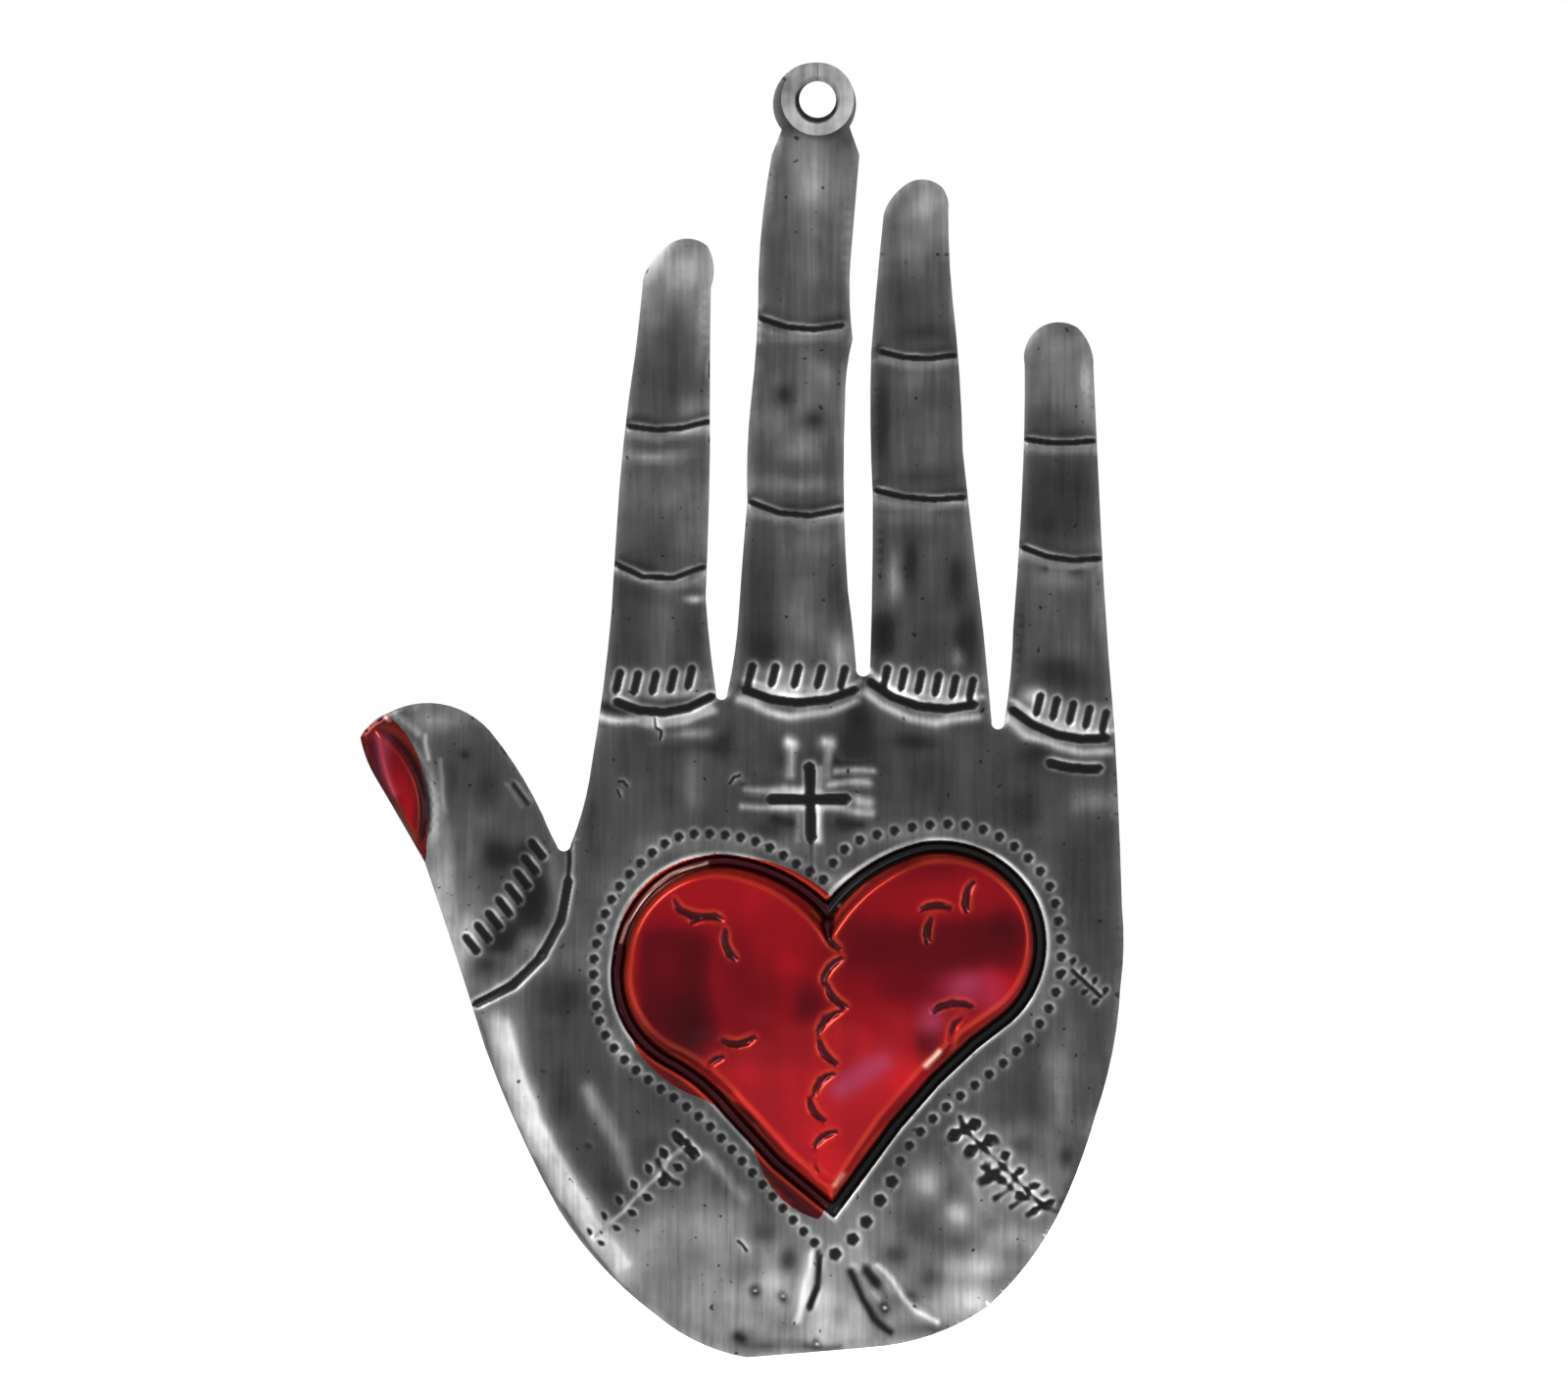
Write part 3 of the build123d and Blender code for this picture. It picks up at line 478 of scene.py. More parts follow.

# The tin's tone, as it looks from the front, from 0 for black to 1 for white: patina, with painted shade
# and highlight where the relief meets the light. A patch has its middle, its half width and half height in
# pixels, how sharp its edge is, and its tone; a line its tone and reach.
PLAIN_TONE = 0.25
tin_patches = [
    # the palm in broad parts
    (850, 800, 300, 60, 4, 0.21), (1100, 920, 50, 130, 4, 0.20), (800, 1320, 260, 100, 4, 0.48),
    (1040, 1200, 70, 60, 3, 0.42), (540, 1000, 60, 60, 3, 0.34),
    # index finger
    (690, 272, 44, 36, 2, 0.60), (668, 320, 14, 30, 2, 0.42), (684, 364, 24, 26, 3, 0.27),
    (717, 320, 7, 60, 2, 0.48), (662, 405, 12, 20, 2, 0.28), (702, 412, 16, 12, 2, 0.40),
    (668, 466, 30, 6, 2, 0.52), (690, 505, 28, 26, 2, 0.36), (650, 540, 16, 26, 2, 0.28),
    (698, 550, 16, 18, 2, 0.38), (642, 636, 18, 50, 3, 0.17), (680, 640, 12, 48, 2, 0.29),
    (712, 650, 12, 40, 2, 0.16), (708, 611, 9, 4, 2, 0.7), (640, 604, 18, 10, 2, 0.17),
    # middle finger and eye
    (797, 102, 7, 24, 2, 0.22), (803, 130, 9, 9, 2, 0.10), (866, 144, 10, 13, 2, 0.12),
    (790, 176, 4, 30, 2, 0.22), (870, 170, 4, 24, 2, 0.25), (836, 74, 44, 10, 2, 0.52),
    (831, 152, 36, 12, 2, 0.30), (832, 184, 30, 34, 2, 0.50), (800, 210, 8, 60, 2, 0.27),
    (832, 258, 30, 40, 2, 0.35), (864, 250, 5, 60, 2, 0.46), (820, 308, 42, 12, 2, 0.27),
    (820, 345, 44, 6, 2, 0.42), (818, 412, 46, 40, 3, 0.34), (840, 386, 10, 14, 2, 0.42),
    (800, 402, 11, 11, 2, 0.12), (830, 430, 13, 12, 2, 0.12), (810, 458, 18, 13, 2, 0.40),
    (846, 470, 9, 20, 2, 0.25), (812, 494, 40, 9, 2, 0.42), (820, 556, 40, 24, 2, 0.34),
    (777, 610, 18, 62, 3, 0.17), (822, 630, 20, 60, 3, 0.31), (857, 600, 9, 44, 2, 0.18),
    (858, 668, 12, 22, 2, 0.52), (778, 662, 16, 20, 2, 0.10),
    # ring finger
    (942, 208, 26, 30, 2, 0.50), (936, 252, 28, 30, 2, 0.40), (930, 312, 36, 26, 3, 0.22),
    (900, 300, 8, 60, 2, 0.28), (940, 340, 34, 12, 2, 0.15), (942, 388, 28, 12, 2, 0.34),
    (898, 430, 11, 56, 3, 0.12), (948, 440, 20, 26, 2, 0.28), (936, 486, 36, 10, 2, 0.16),
    (932, 530, 30, 8, 2, 0.36), (912, 590, 7, 22, 2, 0.44), (898, 560, 6, 30, 2, 0.12),
    (930, 575, 9, 26, 2, 0.09), (948, 610, 9, 44, 2, 0.27), (976, 590, 12, 30, 2, 0.09),
    (900, 648, 16, 24, 3, 0.03), (940, 660, 22, 20, 2, 0.18), (986, 650, 12, 30, 2, 0.09),
    (976, 672, 6, 10, 2, 0.45),
    # little finger
    (1080, 350, 28, 20, 2, 0.46), (1080, 396, 30, 32, 2, 0.37), (1108, 385, 6, 44, 2, 0.48),
    (1080, 510, 44, 46, 4, 0.15), (1082, 590, 34, 12, 2, 0.38), (1082, 640, 30, 40, 2, 0.27),
    (1120, 610, 7, 40, 2, 0.44), (1038, 640, 7, 60, 2, 0.10), (1086, 688, 34, 16, 3, 0.15),
    (1099, 581, 9, 6, 2, 0.05), (1066, 579, 3, 3, 2, 0.10),
    # round the tick marks
    (676, 697, 56, 13, 4, 0.36), (820, 694, 54, 13, 4, 0.40), (950, 702, 54, 13, 4, 0.38),
    (1096, 730, 46, 13, 4, 0.40), (812, 704, 40, 6, 2, 0.58), (690, 708, 40, 5, 2, 0.55),
    (960, 714, 34, 5, 2, 0.55), (1086, 742, 34, 6, 2, 0.60), (1056, 712, 12, 9, 2, 0.60),
    # palm's top
    (715, 764, 30, 8, 2, 0.10), (705, 748, 26, 5, 2, 0.44), (640, 790, 26, 30, 2, 0.22),
    (705, 800, 16, 34, 2, 0.34), (740, 756, 10, 14, 2, 0.12), (876, 735, 14, 20, 2, 0.06),
    (860, 772, 34, 26, 2, 0.11), (936, 757, 26, 9, 2, 0.09), (960, 796, 40, 26, 2, 0.17),
    (990, 770, 20, 50, 2, 0.22), (1056, 770, 20, 12, 2, 0.12), (1100, 786, 22, 5, 2, 0.05),
    (1116, 818, 24, 12, 2, 0.36), (1050, 840, 12, 40, 2, 0.14), (798, 768, 9, 18, 2, 0.12),
    (785, 850, 16, 9, 2, 0.10), (865, 845, 14, 7, 2, 0.08),
    # round the heart
    (740, 862, 90, 12, 2, 0.34), (950, 852, 90, 10, 2, 0.34), (860, 900, 20, 10, 2, 0.42),
    (1056, 890, 20, 20, 2, 0.30), (617, 960, 12, 60, 2, 0.32), (634, 1070, 18, 30, 2, 0.32),
    (1084, 1000, 12, 60, 2, 0.28),
    # thumb
    (448, 734, 34, 12, 2, 0.44), (486, 764, 20, 18, 2, 0.24), (462, 800, 10, 30, 2, 0.16),
    (496, 800, 18, 40, 2, 0.17), (474, 770, 4.5, 4.5, 2, 0.05), (490, 838, 18, 14, 2, 0.28),
    (441, 832, 8, 36, 2, 0.66), (452, 900, 14, 60, 2, 0.52), (470, 950, 20, 40, 2, 0.64),
    (508, 872, 18, 14, 2, 0.06), (478, 860, 10, 56, 2, 0.30), (541, 912, 17, 38, 3, 0.03),
    (512, 955, 22, 18, 3, 0.05), (540, 868, 14, 12, 2, 0.06), (566, 905, 6, 40, 2, 0.36),
    (540, 962, 12, 14, 2, 0.42), (496, 985, 14, 12, 2, 0.14), (516, 1000, 16, 8, 2, 0.32),
    # left of the palm
    (600, 905, 16, 50, 2, 0.24), (512, 1006, 10, 5, 2, 0.46), (576, 1020, 30, 24, 3, 0.16),
    (560, 1010, 14, 16, 2, 0.20), (598, 1080, 24, 50, 3, 0.20), (664, 1168, 8, 9, 2, 0.17),
    (660, 1130, 30, 30, 2, 0.22),
    # bottom of the palm
    (735, 1262, 34, 34, 2, 0.49), (690, 1296, 30, 30, 2, 0.42), (790, 1236, 26, 14, 2, 0.30),
    (780, 1256, 16, 14, 2, 0.22), (804, 1285, 9, 14, 2, 0.13), (760, 1296, 24, 12, 2, 0.40),
    (786, 1312, 16, 20, 2, 0.60), (770, 1346, 24, 14, 2, 0.52), (800, 1350, 12, 14, 2, 0.40),
    (780, 1372, 20, 6, 2, 0.26), (852, 1345, 34, 34, 3, 0.68), (858, 1340, 10, 12, 2, 0.50),
    (864, 1300, 12, 30, 2, 0.52), (835, 1374, 36, 5, 2, 0.28), (948, 1205, 18, 16, 2, 0.58),
    (972, 1210, 12, 20, 2, 0.24), (940, 1250, 16, 24, 2, 0.28), (976, 1240, 12, 10, 2, 0.64),
    (980, 1266, 26, 10, 2, 0.30), (1010, 1252, 8, 8, 2, 0.26), (1036, 1264, 30, 16, 2, 0.56),
    (990, 1292, 40, 12, 2, 0.66), (948, 1304, 16, 18, 2, 0.24), (986, 1330, 26, 16, 2, 0.74),
    (912, 1282, 14, 14, 2, 0.22), (930, 1322, 20, 8, 2, 0.28), (950, 1356, 30, 8, 2, 0.26),
    (1044, 1168, 14, 12, 2, 0.24),
    # right of the palm
    (1080, 1100, 14, 50, 2, 0.46), (1108, 1100, 14, 40, 2, 0.24), (1034, 1118, 28, 22, 3, 0.22),
    (1090, 1160, 14, 12, 2, 0.26), (1106, 1180, 8, 22, 2, 0.10), (1088, 1180, 8, 10, 2, 0.14),
    (1084, 1232, 8, 7, 2, 0.06), (1062, 1200, 18, 16, 2, 0.50),
]
# Many lines are painted light: shade in each crease, arc and pit, highlight below creases and arcs and
# along the turned edges, and white glints in the pits
tin_tone_and_shading_lines = [
    (0.74, 15, shifted(left_edge[:-1], 18, 0)), (0.80, 4, shifted(left_edge[:-1], 26, 0)),
    (0.30, 2, left_edge), (0.46, 5, [(808, 766), (808, 792)]), (0.46, 5, [(844, 766), (844, 790)]),
    (0.68, 7, [(805, 757), (809, 758)]), (0.68, 7, [(842, 757), (846, 758)]),
    (0.50, 4, [(762, 806), (784, 805), (816, 806)]), (0.5, 4, [(758, 824), (816, 825)]),
    (0.52, 4, [(854, 786), (890, 786)]), (0.58, 5, [(846, 800), (886, 798)]),
    (0.52, 4, [(836, 825), (890, 828)]), (0.62, 6, [(878, 817), (886, 818)]),
    (0.46, 3, [(838, 784), (838, 804)]), (0.50, 3, [(837, 830), (837, 858)]),
    (0.36, 3, [(814, 830), (814, 856)]), (0.08, 5, [(790, 836), (806, 838)]),
    (0.09, 4, [(856, 838), (880, 840)]), (0.19, 18, [(560, 1060), (580, 1128), (604, 1180), (632, 1226)]),
    (0.46, 8, [(600, 1112), (626, 1160), (648, 1208)]), (0.62, 4, shifted(right_edge, -2, 0)),
    (0.20, 4, shifted(right_edge, -10, 0)), (0.56, 2.5, [(434, 750), (437, 774)]),
    (0.42, 2.5, [(449, 776), (453, 830)]), (0.50, 4, [(404, 728), (426, 748)]),
    (0.34, 8, [(1046, 906), (1066, 944), (1074, 990), (1056, 1040), (1014, 1084)]),
    (0.85, 4, [(829, 1280), (821, 1314), (814, 1346)]),
    (0.06, 3, [(836, 1280), (836, 1308), (826, 1334)]),
    (0.78, 3, [(896, 1292), (917, 1316), (936, 1338), (956, 1347)]),
    (0.64, 4, [(872, 1290), (890, 1318), (904, 1336)]),
    (0.05, 4, [(868, 1296), (880, 1326), (892, 1344), (908, 1358)]),
    (0.11, 7, [(884, 1298), (892, 1308)]), (0.30, 8, [(706, 878), (646, 902), (626, 950)]),
    (0.50, 5, [(720, 1176), (760, 1222)]), *[(0.12, 6, shifted(crease, 0, -3)) for crease in creases],
    *[(0.05, 2, crease) for crease in creases], *[(0.40, 4, shifted(crease, 0, 9)) for crease in creases],
    *[(0.64, 5, shifted(arc, -2, 13)) for arc in base_arcs],
    *[(0.60, 3, shifted(arc, 4, -8)) for arc in base_arcs[1:]], *[(0.07, 5, arc) for arc in base_arcs],
    (0.62, 4, [(655, 739), (700, 734), (728, 724)]), (0.10, 6, [(771, 1316), (772, 1318)]),
    (0.10, 6, [(902, 1332), (903, 1334)]), (0.2, 5, [(798, 1323), (799, 1324)]),
    (0.10, 7, [(754, 1364), (757, 1366)]), (0.2, 4, [(834, 1368), (835, 1370)]),
    (0.14, 5, [(600, 1168), (602, 1169)]), (1.0, 1.6, [(771, 1317), (772, 1317)]),
    (1.0, 1.6, [(902, 1333), (903, 1333)]), (0.9, 1.2, [(798, 1323), (799, 1323)]),
    (0.9, 1.4, [(834, 1369), (835, 1369)]), (0.60, 2.2, [(696, 1172), (608, 1262)]),
]

# The red's tone, written the same way, with dark maroon blocks and bright streaks painted as reflections;
# then where a violet reflection is painted on it, and where glints are painted as highlights
PLAIN_RED = 0.55
red_reflection_patches = [
    (715, 915, 52, 26, 2, 0.60), (690, 1006, 37, 58, 6, 0.29), (706, 1050, 26, 34, 3, 0.22),
    (676, 985, 16, 30, 2, 0.36), (764, 1010, 36, 64, 3, 0.42), (800, 960, 34, 30, 2, 0.55),
    (768, 915, 40, 24, 2, 0.58), (812, 985, 18, 14, 2, 0.60), (826, 1030, 20, 26, 2, 0.32),
    (890, 965, 44, 40, 2, 0.42), (975, 966, 66, 28, 4, 0.36), (1022, 950, 28, 24, 2, 0.30),
    (930, 1005, 30, 26, 2, 0.40), (950, 884, 62, 14, 2, 0.42), (900, 905, 34, 20, 2, 0.52),
    (1012, 905, 24, 20, 2, 0.56), (1022, 1012, 24, 24, 3, 0.66), (1000, 1052, 24, 14, 2, 0.65),
    (875, 1062, 52, 30, 2, 0.62), (770, 1096, 44, 18, 2, 0.62), (800, 1070, 30, 20, 2, 0.50),
    (842, 1130, 60, 46, 2, 0.68), (930, 1100, 34, 22, 2, 0.69), (846, 1196, 22, 32, 2, 0.67),
    (946, 1062, 14, 16, 3, 0.40), (735, 1072, 16, 12, 2, 0.46),
]
red_reflection_lines = [
    (0.76, 4, [(752, 1116), (800, 1166), (826, 1198)]),
    (0.80, 4, [(962, 1096), (900, 1156), (862, 1206)]), (0.22, 5, [(848, 916), (834, 930)]),
    (0.30, 8, [(700, 1118), (770, 1160), (836, 1236)]),
    (0.60, 4, [(636, 946), (660, 908), (700, 884), (740, 876)]),
    (0.36, 6, [(630, 960), (628, 1010), (650, 1062)]), (0.40, 6, [(770, 878), (806, 892), (836, 915)]),
    (0.26, 4, [(862, 900), (900, 872), (930, 866)]), (0.34, 5, [(1062, 925), (1066, 975)]),
    (0.10, 3, [(676, 1074), (720, 1104), (760, 1136), (800, 1184)]),
    (0.22, 11, [(758, 1170), (792, 1206), (826, 1242)]),
    (0.30, 8, [(662, 1076), (700, 1116), (740, 1146)]),
]
# Painted violet reflections on the heart and on the thumbnail
violet_reflection_patches = [
    (986, 1006, 22, 14, 2, 0.65), (950, 1038, 12, 12, 2, 0.6), (1012, 1012, 12, 20, 2, 0.3),
    (392, 764, 7, 18, 2, 0.45),
]
violet_reflection_lines = [(0.6, 11, [(858, 1110), (900, 1082)]), (0.4, 5, [(384, 752), (392, 784), (402, 808)])]
# Painted glints: highlights in near white on the lacquer
painted_glint_lines = [
    (0.9, 2.6, [(945, 1086), (958, 1070)]), (0.35, 1.6, [(966, 1094), (944, 1118)]),
    (0.3, 1.2, [(633, 962), (640, 942), (652, 922), (668, 905)]),
    (0.45, 1.2, [(668, 905), (684, 893), (704, 884), (722, 879)]), (0.8, 1.6, [(854, 923), (856, 924)]),
    (0.5, 1.8, [(394, 729), (397, 732)]), (0.4, 2.5, [(852, 1208), (860, 1197)]),
]
# Painted orange highlights along the edges of the heart's plateau and lip
orange_highlight_lines = [
    (0.8, 1.5, [(843, 946), (838, 938), (830, 928)]),
    (0.8, 1.8, [(848, 944), (856, 932), (868, 918), (884, 902)]),
    (0.7, 1.6, [(678, 1072), (690, 1076), (716, 1097), (750, 1122)]),
    (0.6, 1.5, [(679, 1082), (712, 1108), (750, 1134)]),
    (0.5, 1.5, [(770, 1148), (800, 1186), (824, 1218)]),
    (0.5, 1.5, [(880, 1176), (940, 1110), (984, 1068)]),
]
PLAIN_NAIL = 0.31
nail_patches = [
    (400, 788, 14, 30, 2, 0.46), (416, 826, 9, 30, 3, 0.55), (392, 762, 8, 12, 2, 0.42),
    (410, 800, 9, 18, 2, 0.54),
]
nail_lines = [
    (0.20, 4, [(370, 756), (376, 776), (396, 818), (420, 862), (432, 876)]),
    (0.16, 4, [(374, 748), (384, 738), (394, 733)]),
    (0.06, 4, [(390, 740), (408, 756), (422, 776), (431, 800), (432, 852)]),
    (0.34, 2, [(398, 736), (424, 764), (434, 796)]),
    (0.12, 2, [(384, 750), (386, 784), (404, 820), (424, 858)]), (0.34, 3, [(437, 846), (436, 878)]),
]


def rubbed_rim_and_highlight(hollow):
    """A rubbed rim round each hollow, with a painted highlight that makes it strongest at its upper right.
    """
    strength, evenly, facing_more = 2.5, 0.75, 0.45
    on_flat, steep_loss, least = 1.2, 4, 0.1
    near = softened(hollow, HALO)
    outward = -np.stack(np.gradient(near, GRID))
    facing = (outward[0] + outward[1]) / (math.sqrt(2) * np.hypot(*outward) + 1)
    rim = np.clip(strength * near * (1 - hollow) * (evenly + facing_more * facing), 0, 1)
    steep = np.hypot(*np.gradient(broad, GRID))
    return rim * np.clip(on_flat - steep_loss * steep, least, 1)


# The pressed relief, and what it says about patina, rubbed rims and the highlight painted on them
tin_height, tin_there = front_map("hand_sheet")
relief = softened_within(tin_height, tin_there, SOFTEN)
for rise, reach, line in worked_lines + [(-STITCH_DEPTH, STITCH_REACH, line) for line in stitches]:
    relief = relief + rise * MM * near_line(line, reach)
broad = softened_within(relief, tin_there, BROAD)
filled = relief + np.clip(broad - relief, 0, MOST_FILLED)
broad = softened_within(filled, tin_there, BROAD)
close = softened_within(relief, tin_there, CLOSE)
depth_in = softened(tin_there, RIM)
hollow = np.clip((broad - relief) / FULL_DEPTH - DEPTH_UNSEEN, 0, 1)
crest = np.clip((relief - close) / FULL_RISE - RISE_UNSEEN, 0, 1)
marks = {"hollow": hollow, "crest": crest, "halo_and_highlight": rubbed_rim_and_highlight(hollow)}
tin_tone_and_shading = painted(PLAIN_TONE, tin_patches, tin_tone_and_shading_lines)
back_tone = PLAIN_TONE + BACK_SHARE * softened(tin_tone_and_shading - PLAIN_TONE, BACK_BLUR)
# The red's painted reflections, its painted violet reflection, its painted glints and its painted orange
# highlights
red_tone_and_reflections = painted(PLAIN_RED, red_reflection_patches, red_reflection_lines)
violet_reflection = painted(0.0, violet_reflection_patches, violet_reflection_lines)
painted_glint = painted(0.0, [], painted_glint_lines)
orange_highlight = painted(0.0, [], orange_highlight_lines)

# Where the mesh is fine: on slopes and where the tone changes fast
slope = np.hypot(*np.gradient(relief, GRID))
fade = np.hypot(*np.gradient(tin_tone_and_shading, GRID))
busy = ((slope > BUSY_SLOPE) | (fade > BUSY_FADE)).astype(float)
busy = (softened(busy, BUSY_REACH) > BUSY_SHARE).astype(float)


def height_at(points):
    """How far the tin stands out to the front, with the unevenness of hand work."""
    uneven = sum(most * wander(points, size, seed) for most, size, seed in UNEVEN)
    at_rim = np.clip((1 - read_map(depth_in, points)) * 2, 0, 1)
    return read_map(relief, points) + uneven - TURNED_DOWN * at_rim ** 2


def marks_at(points, maps):
    """The numbers of the marks, and of some more maps, at points; the maps' edges wander a little."""
    numbers = {key: read_map(values, points) for key, values in marks.items()}
    numbers["edge"] = np.clip(RIM_FADE * (RIM_FROM - read_map(depth_in, points)), 0, 1)
    moved = points + np.stack([most * wander(points, size, seed) for most, size, seed in TONE_WANDER], 1)
    for key, values in maps.items():
        numbers[key] = read_map(values, moved)
    return numbers


def tin_front(material):
    """The pressed front of the hand."""
    loops = silhouette("hand_sheet")
    flat, triangles, _ = skin(loops, tin_there, busy, FRONT_STEPS)
    corners = np.stack([flat[:, 0], -height_at(flat), flat[:, 1]], 1)
    numbers = marks_at(flat, {"tone": tin_tone_and_shading})
    piece = mesh_piece("tin_front", corners, triangles.tolist(), numbers, material)
    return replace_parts(piece, "hand_sheet")


def tin_back(material):
    """The back of the hand and its cut edge; what is hollow in front stands proud there."""
    loops = silhouette("hand_sheet")
    flat, triangles, rims = skin(loops, tin_there, busy, BACK_STEPS)
    corners = np.stack([flat[:, 0], SHEET - height_at(flat), flat[:, 1]], 1)
    faces = triangles[:, ::-1].tolist()
    flat_all = [flat]
    for rim in rims:
        first = len(corners)
        count = len(rim)
        height = height_at(rim)
        front = np.stack([rim[:, 0], -height, rim[:, 1]], 1)
        rear = np.stack([rim[:, 0], SHEET - height, rim[:, 1]], 1)
        corners = np.vstack([corners, front, rear])
        flat_all += [rim, rim]
        for k in range(count):
            after = (k + 1) % count
            faces.append([first + k, first + count + k, first + count + after, first + after])
    numbers = marks_at(np.vstack(flat_all), {"tone": back_tone})
    numbers["hollow"], numbers["crest"] = numbers["crest"], numbers["hollow"]
    numbers["halo_and_highlight"] *= 0
    piece = mesh_piece("tin_back", corners, faces, numbers, material)
    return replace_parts(piece, "hand_sheet")


def coat(node, name, maps, material):
    """A lacquer skin over the tin, its edges drawn down a little into it."""
    edge_reach, above, below = 0.35 * MM, 1.25, 0.2
    _, there = front_map(node)
    flat, triangles, _ = skin(silhouette(node), there, busy, COAT_STEPS)
    depth = np.clip((read_map(softened(there, edge_reach), flat) - 0.5) * 2, 0, 1)
    rise = COAT * (depth * above - below)
    corners = np.stack([flat[:, 0], -height_at(flat) - rise, flat[:, 1]], 1)
    piece = mesh_piece(name, corners, triangles.tolist(), marks_at(flat, maps), material)
    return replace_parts(piece, node)


# Materials. Where a noise has four numbers they are its scale, its detail, its swing and its least value.
METALLIC = 0.85

# The tin's noises (scale, detail, stretch, strength, what is taken off), its specks, what its rubbed rims
# with their painted highlight, crests and edges add, what patina takes off, and its greys by tone
TIN_NOISES = (
    (150, 4, (1, 1, 1), 0.9, 0.45), (420, 3, (1, 1, 0.1), 0.5, 0.25), (1900, 2, (1, 1, 0.06), 0.36, 0.28),
)
SPECKS = (1100, 1, -14.0, 4.2)
SPECK_LOSS = 0.6
HALO_AND_HIGHLIGHT_LIFT = 0.34
CREST_LIFT = 0.18
EDGE_LIFT = 0.10
LIFT_BREAKS = (160, 3, 2.4, -0.3)
PATINA_LOSS = 0.86
GRAIN_DEPTH = 0.03 * MM
GRAIN_BUMP = 0.15
TIN_ROUGHNESS = 0.4
TIN_GREYS = ((0.0, 0.002), (0.12, 0.013), (0.25, 0.051), (0.4, 0.133), (0.6, 0.32), (0.8, 0.6), (1.0, 0.9))

# The ring: how far the painted shade round its hole reaches, from a middle low and left of the hole's, how
# fast it fades per metre, where the edge of a painted reflection is and how low it shows, and what the
# shade and the side right of that edge take off
RING_SHADE_REACH = 2.55 * MM
RING_SHADE_LOW = 0.35 * MM
RING_SHADE_LEFT = 0.1 * MM
RING_FADE = 4000.0
RING_RAGGED = (600, 2, 0.3 * MM, 0.0)
RING_MOTTLE = (320, 2, 0.36, 0.40)
RING_SHADE_LOSS = 0.75
REFLECTION_EDGE = 0.575 * MM
REFLECTION_EDGE_FADE = 20000.0
REFLECTION_TOP_FADE = 300.0
REFLECTION_TOP_FROM = 0.3
REFLECTION_EDGE_LOSS = 0.16

# The lacquer: its reds by tone, and the colours of its painted violet reflection, of its rims where it is
# thin and where highlight is painted, of its hollows and of its painted glints
REDS = (
    (0.0, (0.002, 0.0, 0.0)), (0.2, (0.020, 0.0, 0.001)), (0.4, (0.085, 0.0, 0.003)),
    (0.6, (0.23, 0.002, 0.006)), (0.8, (0.45, 0.006, 0.012)), (1.0, (0.74, 0.06, 0.06)),
)
VIOLET_REFLECTION_RED = (0.27, 0.035, 0.085)
THIN_AND_LIT_RED = (0.54, 0.055, 0.014)
DEEP_RED = (0.018, 0.001, 0.003)
PAINTED_GLINT_RED = (0.88, 0.50, 0.40)
HALO_AND_HIGHLIGHT_THIN = 0.18
ORANGE_HIGHLIGHT_SHARE = 0.55
RED_MOTTLE = (110, 2, 0.4, 0.8)
RED_STREAK = (500, 2, (1, 1, 0.08))
STREAK_SWING = 0.16
STREAK_BUMP = 0.06
THIN_BREAKS = (170, 2, 2.2, -0.1)
RED_ROUGHNESS = (200, 2, 0.2, 0.2)
COAT_SHINE = {"Specular_IOR_Level": 0.1, "Coat_Weight": 0.12, "Coat_Roughness": 0.06}


